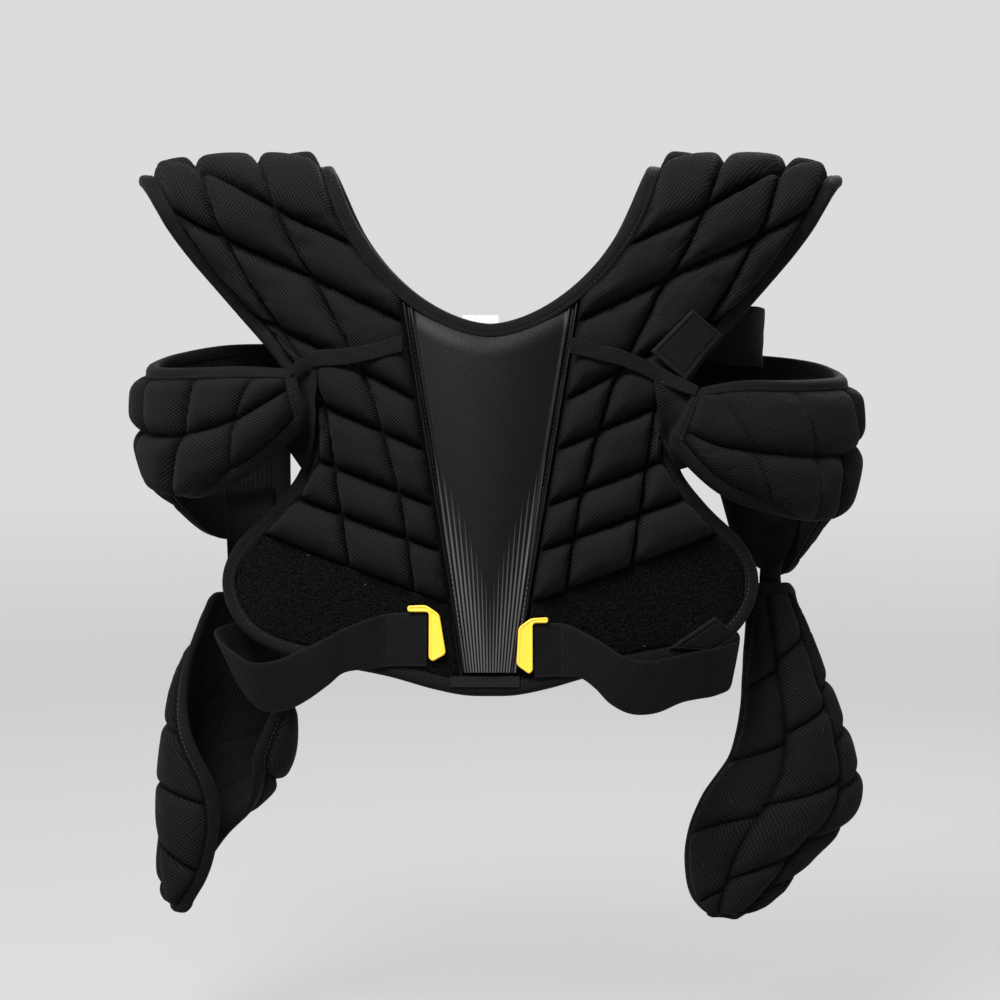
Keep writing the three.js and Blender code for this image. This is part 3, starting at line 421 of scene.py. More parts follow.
def make_cloth_age():
    """Slow changes of shade over a whole piece, and a few pale specks of lint."""
    tree, given, result = effect(
        "cloth_age", {"Place": "Vector"}, {"Shade": "Float", "Lint": "Float"},
    )
    slow = noise(tree, given["Place"], 22.0, 2.0)
    tree.links.new(calc(tree, "MULTIPLY_ADD", slow.outputs["Fac"], 0.7, 0.65), result["Shade"])
    specks = put(tree, "ShaderNodeTexVoronoi", {"Vector": given["Place"], "Scale": 170.0})
    chosen = put(tree, "ShaderNodeSeparateColor", {"Color": specks.outputs["Color"]})
    near = calc(tree, "LESS_THAN", specks.outputs["Distance"], 0.09)
    rare = calc(tree, "GREATER_THAN", chosen.outputs["Red"], 0.965)
    tree.links.new(calc(tree, "MULTIPLY", near, rare), result["Lint"])
    return tree


rib_weave = make_rib_weave()
cloth_age = make_cloth_age()
LINT_COLOUR = (0.08, 0.08, 0.08, 1)


def cloth_material(
    name, weave, weave_inputs, dark, light, bump_depth, lint=0.3, mark=None, **shader_inputs
):
    """Cloth whose weave shades it from dark to light and raises it, aged over the piece. Where a mark
    kept on its points is strong, it turns to the mark's colour."""
    material, tree, shader = new_material(name, **shader_inputs)
    place = kept_mark(tree, "cloth_place")
    weave_inputs = {"Place": place.outputs["Vector"], **weave_inputs}
    threads = put(tree, "ShaderNodeGroup", weave_inputs, node_tree=weave)
    whole = put(tree, "ShaderNodeTexCoord")
    age = put(tree, "ShaderNodeGroup", {"Place": whole.outputs["Object"]}, node_tree=cloth_age)
    shade = calc(tree, "MULTIPLY", threads.outputs["Shade"], age.outputs["Shade"])
    colour = blend_colours(tree, shade, dark, light)
    colour = blend_colours(tree, calc(tree, "MULTIPLY", age.outputs["Lint"], lint), colour, LINT_COLOUR)
    if mark:
        found = kept_mark(tree, mark["name"])
        limits = {"From Min": mark["from"], "From Max": mark["to"], "To Max": mark["share"]}
        strength = put(tree, "ShaderNodeMapRange", {"Value": found.outputs["Fac"], **limits})
        colour = blend_colours(tree, strength.outputs["Result"], colour, mark["colour"])
    tree.links.new(colour, shader.inputs["Base Color"])
    raise_surface(tree, shader, threads.outputs["Height"], bump_depth)
    return material


lining_cloth = cloth_material(
    "lining_cloth", rib_weave, {"Rib": 2.2, "Thread": 1.1},
    (0.0012, 0.0012, 0.0014, 1), (0.0062, 0.0062, 0.0068, 1), 0.5,
    Roughness=0.9, Specular_IOR_Level=0.05, Sheen_Weight=0.015, Sheen_Roughness=0.5,
)
LINER_STRETCHES = [(0.2, 118, 50), (120, 336, 60), (336.6, 340.7, 8)]  # from, to and rows of points
LINER_GIVE = 0.5
LINER_CUT = {"flat": (0.45, 0.345), "area": 0.08}
liner_edge = edge_places + edge_inwards * LINER_EDGE


def liner_x(s):
    return np.interp(s, liner_edge[::-1, 1], np.maximum(liner_edge[::-1, 0], 0))


def liner_half(side, facing):
    """Outer and inner points and flat places of half a liner, from the neck to the outer edge."""
    rows = np.concatenate([np.linspace(*stretch) for stretch in LINER_STRETCHES])
    share, row = np.meshgrid(np.linspace(0, 1, 30), rows)
    s = row * facing
    x = side * mix(neck_x(s, LINER_EDGE), liner_x(row), share)
    give = LINER_GIVE * np.sin(x / 17 + row / 31) * np.sin(row / 23)
    top = vest_point(x, s, LINER_TOP + 0 * x)
    return top, vest_point(x, s, give), np.stack([x, s], axis=-1)


for node, facing in [("chest_liner", 1), ("back_liner", -1)]:
    liner = sheet_piece(node + "_cloth", [liner_half(side, facing) for side, _ in SIDES], [lining_cloth])
    sew_on(liner, node, "lining", held="hung", rests_on=["neck_binding"], **LINER_CUT)

# Quilted chest and back pads
# Foam cells between a knitted mesh face and the lining, sewn down along two long seams and slanted
# cross seams, so that each cell stands up as a pillow with a tight dark groove round it, dark from real
# shade and from painted shade. The chest pads run over the shoulders to a seam behind them, and the back
# pads carry on from there.
SEAM_TOP = 6.2
PAD_TOP = 17
PAD_INSET = 1
LONG_SEAMS = {
    "s": [0, 50, 93, 130, 165, 192, 230, 285],
    "inner": [152, 131, 107, 88, 72, 64, 54, 45],
    "outer": [191, 170, 146, 123, 103, 97, 91, 82],
}
CROSS_SEAM_X = 100
SHOULDER_SEAM = 60
CHEST_SEAMS = {
    "at": [-SHOULDER_SEAM, 22, 62, 94, 137, 172, 207, 235, 265],
    "fall": [0, 0.5, 0.51, 0.53, 0.57, 0.45, 0.4, 0.37, 0.37],
}
BACK_SEAMS = {
    "at": [SHOULDER_SEAM + LAYER_GAP, 112, 160, 212, 265],
    "fall": [0, 0.3, 0.4, 0.38, 0.37],
}
STERNUM_TOP = {"half_width": 56, "s": 98}
STERNUM_FOOT = {"half_width": 17, "s": 334.5}
COLUMN_STEPS = [24, 20, 20]
CHEST_BAND_STEPS = [44, 24, 18, 24, 20, 20, 16, 18]
BACK_BAND_STEPS = [26, 24, 26, 26]
CELL_ROUNDING = {"across": 7, "along": 10}
VALLEY = {"across": 0.4, "along": 1.1}  # half the flat floor of a groove
CELL_CROWN = 1.0
CELL_FULLNESS = (0.93, 1.03)  # no two cells are stuffed quite alike
GATHERS = {"height": 0.55, "reach": 4}
FOAM = {"pressure": 4.0, "slack": 0.014, "frames": 12, "held_below": 0.2, "reach": 2.5, "scale": 0.01}
WEBBING = {
    "left": {"x": [-52, -70, -88, -104], "s": [134, 139, 142, 143]},
    "right": {"x": [47, 62, 78, 92, 102], "s": [135, 139, 143, 149, 154]},
}
WEBBING_PRESS = {"depth": 2.6, "reach": 8, "from_x": (40, 48), "to_x": (108, 122)}  # it sinks the pads


def table_curve(at, value):
    """A smooth curve through the rows of a table."""
    at, value = np.asarray(at, float), np.asarray(value, float)
    rise = np.concatenate([value[1:2] - value[:1], value[2:] - value[:-2], value[-1:] - value[-2:-1]])
    run = np.concatenate([at[1:2] - at[:1], at[2:] - at[:-2], at[-1:] - at[-2:-1]])
    slope = rise / run

    def curve(t):
        i = np.clip(np.searchsorted(at, t) - 1, 0, len(at) - 2)
        width = at[i + 1] - at[i]
        f = np.clip((t - at[i]) / width, 0, 1)
        g = 1 - f
        start = value[i] * (1 + 2 * f) + slope[i] * width * f
        end = value[i + 1] * (3 - 2 * f) - slope[i + 1] * width * g
        return start * g * g + end * f * f

    return curve


def sternum_x(s):
    share = (s - STERNUM_TOP["s"]) / (STERNUM_FOOT["s"] - STERNUM_TOP["s"])
    return mix(STERNUM_TOP["half_width"], STERNUM_FOOT["half_width"], share)


def cell_lines(steps):
    """Grid lines through cells one unit wide, closer together near the seams."""
    lines = [
        cell + 0.5 - 0.5 * np.cos(np.arange(count) * math.pi / count) for cell, count in enumerate(steps)
    ]
    return np.concatenate([*lines, [len(steps)]])


def quilt_places(columns, seams, across, down):
    """Flat places of a quilt's grid, where across counts its columns and down its bands."""
    u, v = np.meshgrid(across, down)
    column = np.minimum(u.astype(int), len(columns) - 2)[None]
    band = np.minimum(v.astype(int), len(seams["at"]) - 2)
    at, fall = np.asarray(seams["at"]), np.asarray(seams["fall"])
    x = np.full(u.shape, float(CROSS_SEAM_X))
    for _ in range(50):
        above = at[band] + fall[band] * (CROSS_SEAM_X - x)
        below = at[band + 1] + fall[band + 1] * (CROSS_SEAM_X - x)
        s = mix(above, below, v - band)
        edges = np.stack([edge(s) + 0 * s for edge in columns])
        inner = np.take_along_axis(edges, column, 0)[0]
        outer = np.take_along_axis(edges, column + 1, 0)[0]
        x = x + 0.5 * (mix(inner, outer, u - column[0]) - x)
    return x, s


def cell_spans(surface, across, down):
    """Width and height of a surface's cells at each grid point, square to their seams."""
    along_u = np.gradient(surface, across, axis=1)
    along_v = np.gradient(surface, down, axis=0)
    area = np.linalg.norm(np.cross(along_u, along_v), axis=-1)
    width = area / np.maximum(np.linalg.norm(along_v, axis=-1), 1e-6)
    height = area / np.maximum(np.linalg.norm(along_u, axis=-1), 1e-6)
    return width, height


def rounded(distance, radius):
    """A quarter circle that rises from a seam to the flat of a cell."""
    return np.sqrt(1 - (1 - np.clip(distance / radius, 0, 1)) ** 2)


def ripple(along, seed):
    """Uneven waves of gathered cloth along a seam, from -1 to 1."""
    random = np.random.default_rng(seed)
    waves = [np.sin(along * 2 * math.pi / size + random.uniform(0, 6)) for size in (5.7, 8.3, 13.1)]
    return sum(waves) / 3


def quilt_lift(x, s, surface, across, down, seed):
    """Height of the quilted face over the inside of the vest, and how deep in a groove each point is."""
    width, height = cell_spans(surface, across, down)
    u, v = np.meshgrid(across, down)
    to_long_seam = np.minimum(u % 1, 1 - u % 1) * width
    to_cross_seam = np.minimum(v % 1, 1 - v % 1) * height
    rise_across = rounded(to_long_seam - VALLEY["across"], CELL_ROUNDING["across"])
    rise_along = rounded(to_cross_seam - VALLEY["along"], CELL_ROUNDING["along"])
    puff = rise_across * rise_along
    cells = np.random.default_rng(seed).uniform(*CELL_FULLNESS, (40, 8))
    fullness = cells[v.astype(int), u.astype(int)]
    crown = CELL_CROWN * np.sin(math.pi * (u % 1)) * np.sin(math.pi * (v % 1))
    gathers = np.exp(-to_long_seam / GATHERS["reach"]) * ripple(s, seed)
    gathers = gathers + np.exp(-to_cross_seam / GATHERS["reach"]) * ripple(x, seed + 1)
    lift = SEAM_TOP + (PAD_TOP - SEAM_TOP) * puff * fullness + crown
    return lift + GATHERS["height"] * gathers * np.minimum(puff, 0.8), puff


def blown_up(points, inside, puff):
    """The quilted face after a cloth simulation: the foam presses it away from its inside, its seams and
    edges are held, and it has a little more cloth than it needs, so that it gathers beside the seams."""
    rows, columns = points.shape[:2]
    faces = grid_quads(rows, columns)
    normals = np.cross(np.gradient(points, axis=1), np.gradient(points, axis=0))
    if np.sum(normals * (points - inside)) < 0:
        faces = faces[:, ::-1]
    face = new_object("blown_up", (points.reshape(-1, 3) * FOAM["scale"]).tolist(), faces.tolist(), [])
    held = puff < FOAM["held_below"]
    held[[0, -1]] = True
    held[:, [0, -1]] = True
    face.vertex_groups.new(name="sewn").add(np.flatnonzero(held).tolist(), 1.0, "REPLACE")
    cloth = face.modifiers.new("cloth", "CLOTH")
    cloth.settings.vertex_group_mass = "sewn"
    cloth.settings.quality = 4
    cloth.settings.use_pressure = True
    cloth.settings.uniform_pressure_force = FOAM["pressure"]
    cloth.settings.shrink_min = -FOAM["slack"]
    cloth.settings.effector_weights.gravity = 0
    cloth.collision_settings.use_collision = False
    cloth.point_cache.frame_end = FOAM["frames"]
    for moment in range(1, FOAM["frames"] + 1):
        bpy.context.scene.frame_set(moment)
    settled = face.evaluated_get(bpy.context.evaluated_depsgraph_get()).data
    moved = np.empty(rows * columns * 3)
    settled.vertices.foreach_get("co", moved)
    bpy.data.objects.remove(face)
    bpy.context.scene.frame_set(1)
    shift = moved.reshape(points.shape) / FOAM["scale"] - points
    size = np.linalg.norm(shift, axis=-1, keepdims=True)
    return points + shift * np.minimum(1, FOAM["reach"] / np.maximum(size, 1e-9))


def make_knit_weave():
    """A knitted mesh: small raised knots in slanted rows, with dark holes between them."""
    tree, given, result = effect(
        "knit_weave",
        {"Place": "Vector", "Pitch": "Float", "Slant": "Float"},
        {"Height": "Float", "Shade": "Float"},
    )
    loose = noise(tree, given["Place"], 0.22, 0.0)
    middle = put(
        tree, "ShaderNodeVectorMath", {0: loose.outputs["Color"], 1: (0.5, 0.5, 0.5)}, operation="SUBTRACT",
    )
    drawn = put(
        tree, "ShaderNodeVectorMath", {0: middle.outputs[0], 1: (1.1, 1.1, 1.1), 2: given["Place"]},
        operation="MULTIPLY_ADD",
    )
    turned = put(
        tree, "ShaderNodeVectorRotate", {"Vector": drawn.outputs[0], "Angle": given["Slant"]},
        rotation_type="Z_AXIS",
    )
    place = split(tree, turned.outputs[0])
    first = wave(tree, calc(tree, "DIVIDE", place.outputs["X"], given["Pitch"]))
    second = wave(tree, calc(tree, "DIVIDE", place.outputs["Y"], given["Pitch"]))
    knots = calc(tree, "MULTIPLY", calc(tree, "ADD", first, second), 0.5)
    yarn = noise(tree, given["Place"], 1.9, 1.0)
    tree.links.new(knots, result["Height"])
    shade = calc(tree, "MULTIPLY_ADD", yarn.outputs["Fac"], 0.45, calc(tree, "POWER", knots, 1.4))
    tree.links.new(calc(tree, "SUBTRACT", shade, 0.1), result["Shade"])
    return tree


knit_weave = make_knit_weave()
# Painted shade: where the groove mark is strong, deep in a seam between cells, the mesh cloth is darkened
# towards near black.
GROOVE_PAINTED_SHADE = {"name": "groove", "from": 0.35, "to": 0.85, "share": 0.85, "colour": (0.0006, 0.0006, 0.0006, 1)}
mesh_cloth = cloth_material(
    "mesh_cloth", knit_weave, {"Pitch": 1.55, "Slant": math.radians(38)},
    (0.0012, 0.0012, 0.0011, 1), (0.0125, 0.0124, 0.0118, 1), 0.55, mark=GROOVE_PAINTED_SHADE,
    Roughness=0.85, Specular_IOR_Level=0.04, Sheen_Weight=0.02, Sheen_Roughness=0.4,
)


def quilt_sheet(side, hand, facing, columns, seams, band_steps, seed):
    """Outer and inner points, flat places and grooves of one quilted pad of the vest."""
    across, down = cell_lines(COLUMN_STEPS), cell_lines(band_steps)
    x, s = quilt_places(columns, seams, across, down)
    surface = vest_point(x, facing * s, PAD_TOP + 0 * x)
    lift, puff = quilt_lift(x, s, surface, across, down, seed)
    if facing > 0:
        webbing = WEBBING[hand]
        line = np.interp(x, np.abs(webbing["x"]), webbing["s"])
        under = smooth_step(x, *WEBBING_PRESS["from_x"]) * (1 - smooth_step(x, *WEBBING_PRESS["to_x"]))
        under = under * np.exp(-(((s - line) / WEBBING_PRESS["reach"]) ** 2))
        lift = lift - WEBBING_PRESS["depth"] * puff * under
    inner = vest_point(side * x, facing * s, PAD_FOOT + 0 * x)
    outer = blown_up(vest_point(side * x, facing * s, lift), inner, puff)
    return (outer, inner, np.stack([side * x, facing * s], axis=-1)), puff


long_seams = [table_curve(LONG_SEAMS["s"], LONG_SEAMS[edge]) for edge in ("inner", "outer")]
chest_columns = [
    lambda s: np.maximum(neck_x(s, BOUND_EDGE + PAD_INSET), sternum_x(s) + LAYER_GAP),
    lambda s: long_seams[0](np.abs(s)),
    lambda s: long_seams[1](np.abs(s)),
    lambda s: outer_x(s) - PAD_INSET,
]
back_columns = [
    lambda s: np.maximum(neck_x(-s, BOUND_EDGE + PAD_INSET), CLOTH_GAP / 2),
    *chest_columns[1:],
]
for seed, (side, hand) in enumerate(SIDES):
    for part, facing, columns, seams, band_steps in (
        ("chest", 1, chest_columns, CHEST_SEAMS, CHEST_BAND_STEPS),
        ("back", -1, back_columns, BACK_SEAMS, BACK_BAND_STEPS),
    ):
        quilt, puff = quilt_sheet(side, hand, facing, columns, seams, band_steps, 11 + seed)
        # The groove mark paints shade into the seams between the cells.
        pad = sheet_piece(f"{part}_pad_{hand}_quilt", [quilt], [mesh_cloth, lining_cloth], groove=1 - puff)
        sew_on(pad, f"{part}_pad_{hand}", "quilted_mesh", fill=0.8)

# Sternum plate
# A long tapered plate of satin leatherette over firm foam, from the neck to the hem. Both long edges are
# piped twice and stitched between the pipings, the top rolls in under the neck tape, and fine grey
# pinstripes fan up from the foot and fade out.
STERNUM_EDGE_TOP = 6.8
STERNUM_CROWN = 3.6
PIPINGS = [{"inside": 1.4, "height": 1.5}, {"inside": 5.4, "height": 0.9}]
PIPING_ROUND = 1.15
STITCH_CHANNEL = {"inside": 3.4, "depth": 0.7, "round": 0.7}
PLATE_ROLL = {"length": 13, "depth": 2.6}
PINSTRIPES = {"count": 21, "within": 0.93, "middle_start": 0.77, "edge_start": 0.31, "fade": 0.26}
PINSTRIPE_LINE = {"finest": 0.97, "widens": -0.42, "soft": 0.06}  # the part of a wave that is inked
PINSTRIPE_COLOUR = (0.07, 0.07, 0.072, 1)
PLATE_COLOUR = (0.0018, 0.002, 0.0023, 1)
PLATE_ROUGHNESS = (0.16, 0.36)  # how far it varies, and its least


def plate_place(across, down):
    """Pattern places of the plate, across from -1 to 1 and down from its top edge to its foot."""
    s = np.full(np.broadcast(across, down).shape, float(STERNUM_FOOT["s"]))
    for _ in range(40):
        top = neck_s(across * sternum_x(s), BOUND_EDGE + PAD_INSET)
        s = mix(top, STERNUM_FOOT["s"], down)
    return across * sternum_x(s), s, top


def plate_lift(across, x, s, top):
    inside = sternum_x(s) - np.abs(x)
    lift = STERNUM_EDGE_TOP - 1 + (STERNUM_CROWN + 1) * (1 - across**2)
    for piping in PIPINGS:
        lift = lift + piping["height"] * np.exp(-(((inside - piping["inside"]) / PIPING_ROUND) ** 2))
    channel = np.exp(-(((inside - STITCH_CHANNEL["inside"]) / STITCH_CHANNEL["round"]) ** 2))
    roll = np.clip(1 - (s - top) / PLATE_ROLL["length"], 0, 1) ** 2
    return lift - STITCH_CHANNEL["depth"] * channel - PLATE_ROLL["depth"] * roll


def plate_material():
    """Satin leatherette, with printed pinstripes that start further down nearer the middle."""
    material, tree, shader = new_material("plate_leather", Specular_IOR_Level=0.11)
    mark = kept_mark(tree, "plate_share")
    share = split(tree, mark.outputs["Vector"])
    edgeward = calc(tree, "ABSOLUTE", share.outputs["X"])
    earlier = PINSTRIPES["edge_start"] - PINSTRIPES["middle_start"]
    starts = calc(tree, "MULTIPLY_ADD", edgeward, earlier, PINSTRIPES["middle_start"])
    strength = calc(tree, "DIVIDE", calc(tree, "SUBTRACT", share.outputs["Y"], starts), PINSTRIPES["fade"])
    strength = calc(tree, "MINIMUM", calc(tree, "MAXIMUM", strength, 0.0), 1.0)
    lines = wave(tree, calc(tree, "MULTIPLY", share.outputs["X"], PINSTRIPES["count"] / 2))
    thin = calc(tree, "MULTIPLY_ADD", strength, PINSTRIPE_LINE["widens"], PINSTRIPE_LINE["finest"])
    printed = put(
        tree, "ShaderNodeMapRange",
        {"Value": lines, "From Min": thin, "From Max": calc(tree, "ADD", thin, PINSTRIPE_LINE["soft"])},
    )
    inked = calc(tree, "MULTIPLY", printed.outputs["Result"], calc(tree, "POWER", strength, 0.6))
    within = calc(tree, "LESS_THAN", edgeward, PINSTRIPES["within"])
    colour = blend_colours(tree, calc(tree, "MULTIPLY", inked, within), PLATE_COLOUR, PINSTRIPE_COLOUR)
    tree.links.new(colour, shader.inputs["Base Color"])
    place = kept_mark(tree, "cloth_place")
    grain = put(tree, "ShaderNodeTexVoronoi", {"Vector": place.outputs["Vector"], "Scale": 0.9})
    fine = noise(tree, place.outputs["Vector"], 1.6, 4.0)
    height = calc(tree, "MULTIPLY_ADD", grain.outputs["Distance"], 0.5, fine.outputs["Fac"])
    raise_surface(tree, shader, height, 0.1)
    wear = noise(tree, place.outputs["Vector"], 0.05, 5.0)
    roughness = calc(tree, "MULTIPLY_ADD", wear.outputs["Fac"], *PLATE_ROUGHNESS)
    tree.links.new(roughness, shader.inputs["Roughness"])
    return material


across, down = np.meshgrid(np.sin(np.linspace(-0.5, 0.5, 111) * math.pi), np.linspace(0, 1, 190))
x, s, top = plate_place(across, down)
lift = plate_lift(across, x, s, top)
plate_leather = plate_material()
plate = sheet_piece(
    "sternum_plate_leather",
    [(vest_point(x, s, lift), vest_point(x, s, PAD_FOOT), np.stack([x, s], axis=-1))],
    [plate_leather],
    plate_share=np.stack([across, down, 0 * down], axis=-1),
)
sew_on(plate, "sternum_plate", "plate", fill=0.6)

thread, _, _ = new_material("sewing_thread", Base_Color=(0.0045, 0.0045, 0.005, 1), Roughness=0.7)
STITCH = {"pitch": 3.2, "length": 2.5, "half_width": 0.32, "lift": 0.1}


def stitch_row(name, line, ups, node, slot):
    """Stitches along a line: short lengths of thread, thickest in the middle."""
    run = run_along(line)
    middles = np.arange(STITCH["pitch"], run[-1] - STITCH["pitch"] / 2, STITCH["pitch"])
    half = STITCH["length"] / 2
    start, middle, end = (at_run(middles + shift, run, line) for shift in (-half, 0, half))
    up = unit(at_run(middles, run, ups))
    aside = unit(np.cross(end - start, up)) * STITCH["half_width"]
    up = up * STITCH["half_width"]
    rings = [middle + aside + up * 0.4, middle + up * 1.6, middle - aside + up * 0.4, middle - up]
    points = np.stack([start, *rings, end], axis=1).reshape(-1, 3)
    fan = [[0, i, i % 4 + 1] for i in range(1, 5)] + [[5, i % 4 + 1, i] for i in range(1, 5)]
    faces = (np.arange(len(middles))[:, None, None] * 6 + np.array(fan)).reshape(-1, 3)
    sew_on(make_piece(name, points, faces, [thread]), node, slot)


def vest_stitches(name, x, s, lift, node, slot):
    """A row of stitches on the vest."""
    line = vest_point(x, s, lift)
    stitch_row(name, line, vest_point(x, s, lift + 1) - line, node, slot)


for side, hand in SIDES:
    rows_down = np.linspace(0.03, 0.99, 160)
    edge_s = plate_place(side + 0 * rows_down, rows_down)[1]
    inward = side * (sternum_x(edge_s) - STITCH_CHANNEL["inside"])
    share = inward / sternum_x(edge_s)
    lift = plate_lift(share, inward, edge_s, neck_s(inward, BOUND_EDGE + PAD_INSET))
    lift = lift + STITCH["lift"]
    vest_stitches(f"plate_stitches_{hand}", inward, edge_s, lift, "sternum_plate", "plate")

# Lower panels
# Below the quilting the chest is faced with napped loop pile, which the straps fasten to, and the back
# with the lining. Both panels lie flat on the liner from the lowest cross seam to the hem tape.
LOOP_TOP = 7
LOOP_NAP = 0.45
PANEL_END = inset_x[corner] - 1.5
PANEL_LENGTH = 130
PANEL_EDGE = 0.35  # how much of its thickness is left at its edge
PANEL_EDGE_ROUND = 3


def lowest_seam(x):
    return CHEST_SEAMS["at"][-1] + CHEST_SEAMS["fall"][-1] * (CROSS_SEAM_X - x)


def lower_panel(side, facing, inner_top, inner_foot, nap):
    """Outer and inner points and flat places of one panel, its face roughened by the nap."""
    u, v = np.meshgrid(np.linspace(0, 1, 120), np.linspace(0, 1, 64))
    top_x, foot_x = mix(inner_top, PANEL_END, u), mix(inner_foot, PANEL_END, u)
    top_s = np.maximum(lowest_seam(top_x) + LAYER_GAP, armhole_s(top_x))
    x, s = mix(top_x, foot_x, v), mix(top_s, hem_s(foot_x), v)
    to_end = np.minimum(u, 1 - u) * PANEL_LENGTH
    to_edge = np.minimum(np.minimum(v, 1 - v) * (hem_s(foot_x) - top_s), to_end)
    lift = PAD_FOOT + (LOOP_TOP - PAD_FOOT) * mix(PANEL_EDGE, 1, rounded(to_edge, PANEL_EDGE_ROUND))
    lift = lift + np.random.default_rng(7).uniform(-nap, nap, u.shape)
    outer = vest_point(side * x, facing * s, lift)
    return outer, vest_point(side * x, facing * s, PAD_FOOT), np.stack([side * x, facing * s], axis=-1)


def make_pile():
    """Tangled loops of yarn: lit tips scattered over dark hollows."""
    tree, given, result = effect("pile", {"Place": "Vector"}, {"Height": "Float", "Shade": "Float"})
    tangle = noise(tree, given["Place"], 0.75, 2.0)
    tips = put(tree, "ShaderNodeTexVoronoi", {"Vector": given["Place"], "Scale": 1.15})
    height = calc(tree, "SUBTRACT", tangle.outputs["Fac"], tips.outputs["Distance"])
    tree.links.new(calc(tree, "MULTIPLY_ADD", height, 0.8, 0.5), result["Height"])
    lit = calc(tree, "MULTIPLY_ADD", height, 2.2, 0.35)
    tree.links.new(calc(tree, "MAXIMUM", lit, 0.0), result["Shade"])
    return tree


pile = make_pile()
loop_cloth = cloth_material(
    "loop_cloth", pile, {}, (0.0005, 0.0005, 0.0006, 1), (0.0056, 0.0056, 0.0062, 1), 0.9,
    lint=0.9, Roughness=0.95, Specular_IOR_Level=0.03, Sheen_Weight=0.01, Sheen_Roughness=0.6,
)
PLATE_SIDE_TOP = float(sternum_x(lowest_seam(STERNUM_FOOT["half_width"]))) + 2 * LAYER_GAP
PLATE_SIDE_FOOT = STERNUM_FOOT["half_width"] + 2 * LAYER_GAP
BACK_MIDDLE = 0.05
BACK_NAP = 0.06
PANEL_CUT = {"flat": (0.14, 0.09), "area": 0.0073}
BACK_PANEL_CUT = {"flat": (0.156, 0.09), "area": 0.0079}
for side, hand in SIDES:
    sheet = lower_panel(side, 1, PLATE_SIDE_TOP, PLATE_SIDE_FOOT, LOOP_NAP)
    panel = sheet_piece(f"loop_panel_{hand}_pile", [sheet], [loop_cloth])
    sew_on(panel, f"loop_panel_{hand}", "loop_pile", held="laid", rests_on=["chest_liner"], **PANEL_CUT)
    sheet = lower_panel(side, -1, BACK_MIDDLE, BACK_MIDDLE, BACK_NAP)
    panel = sheet_piece(f"back_panel_{hand}_cloth", [sheet], [lining_cloth])
    sew_on(panel, f"back_panel_{hand}", "lining", held="laid", rests_on=["back_liner"], **BACK_PANEL_CUT)

# Bindings of the vest
# A smooth woven tape, folded over every edge of the vest and sewn down along its inner side: one loop
# round the neck, and one length from the hem over each shoulder to the back. It is softly rounded over
# the layers inside it and dips along its row of stitches.
TAPE_SECTION = {
    "inside": [0, 0.3, 1.2, 2.6, 4.4, 6.0, 7.2, 8.2, 9, 9, 7.2, 4.4, 2, 0.4],
    "lift": [2.8, 4.7, 6.1, 6.75, 6.85, 6.7, 6.2, 6.5, 6.1, -0.5, -1, -1, -0.8, 0.7],
}
TAPE_STITCH_INSIDE = 7.2
TAPE_STITCH_LIFT = 6.3
TAPE_FILL = 0.5
TAPE_UNEVEN = 0.22
tape_cloth = cloth_material(
    "tape_cloth", rib_weave, {"Rib": 0.75, "Thread": 0.9},
    (0.0013, 0.0013, 0.0016, 1), (0.005, 0.005, 0.006, 1), 0.16,
    Roughness=0.66, Specular_IOR_Level=0.06, Sheen_Weight=0.02, Sheen_Roughness=0.4,
)


def swept_piece(name, rings, is_loop, materials):
    """A tube through rings of points: a closed loop, or a length with flat ends."""
    count, sides = rings.shape[:2]
    faces = grid_quads(count, sides, wrap_rows=is_loop, wrap_columns=True).tolist()
    if not is_loop:
        first = np.arange(sides)
        for end in (first[::-1], first + (count - 1) * sides):
            faces += [[end[0], end[i], end[i + 1], end[i + 2]] for i in range(1, sides - 2, 2)]
    run = run_along(rings)
    places = np.stack([run_along(rings, axis=1), run, 0 * run], axis=-1).reshape(-1, 3)
    return make_piece(name, rings.reshape(-1, 3), faces, materials, None, {"cloth_place": places})


def tape_rings(places, inwards, side, seed):
    """Rings of a tape round an edge of the vest, whose face is a little uneven along its length."""
    inside, lift = (np.array(TAPE_SECTION[key])[None] for key in ("inside", "lift"))
    run = run_along(places)[:, None]
    uneven = TAPE_UNEVEN * ripple(run / 2, seed) * np.clip((lift - TAPE_SECTION["lift"][0]) / 3, 0, 1)
    x = places[:, :1] + inwards[:, :1] * inside
    s = places[:, 1:] + inwards[:, 1:] * inside
    return vest_point(side * x, s, lift + uneven)


def tape_stitches(name, places, inwards, side, node):
    x, s = (places + inwards * TAPE_STITCH_INSIDE).T
    vest_stitches(name, side * x, s, TAPE_STITCH_LIFT, node, "binding")


def signed_power(value):
    return np.sign(value) * np.abs(value) ** (2 / NECK_ROUNDNESS)


turns = np.linspace(0, 2 * math.pi, 4001)
neck_line = np.stack([NECK_HALF_WIDTH * signed_power(np.cos(turns)), signed_power(np.sin(turns))], axis=-1)
neck_line[:, 1] *= np.where(neck_line[:, 1] >= 0, NECK_FRONT_DROP, NECK_BACK_DROP)
neck_places = evenly_along(neck_line, 281)[:-1]
ahead = unit(np.roll(neck_places, -1, axis=0) - np.roll(neck_places, 1, axis=0))
neck_outwards = np.stack([ahead[:, 1], -ahead[:, 0]], axis=-1)
rings = tape_rings(neck_places, neck_outwards, 1, 3)
neck_tape = swept_piece("neck_binding_tape", rings, True, [tape_cloth])
sew_on(neck_tape, "neck_binding", "binding", fill=TAPE_FILL)
tape_stitches("neck_stitches", neck_places, neck_outwards, 1, "neck_binding")

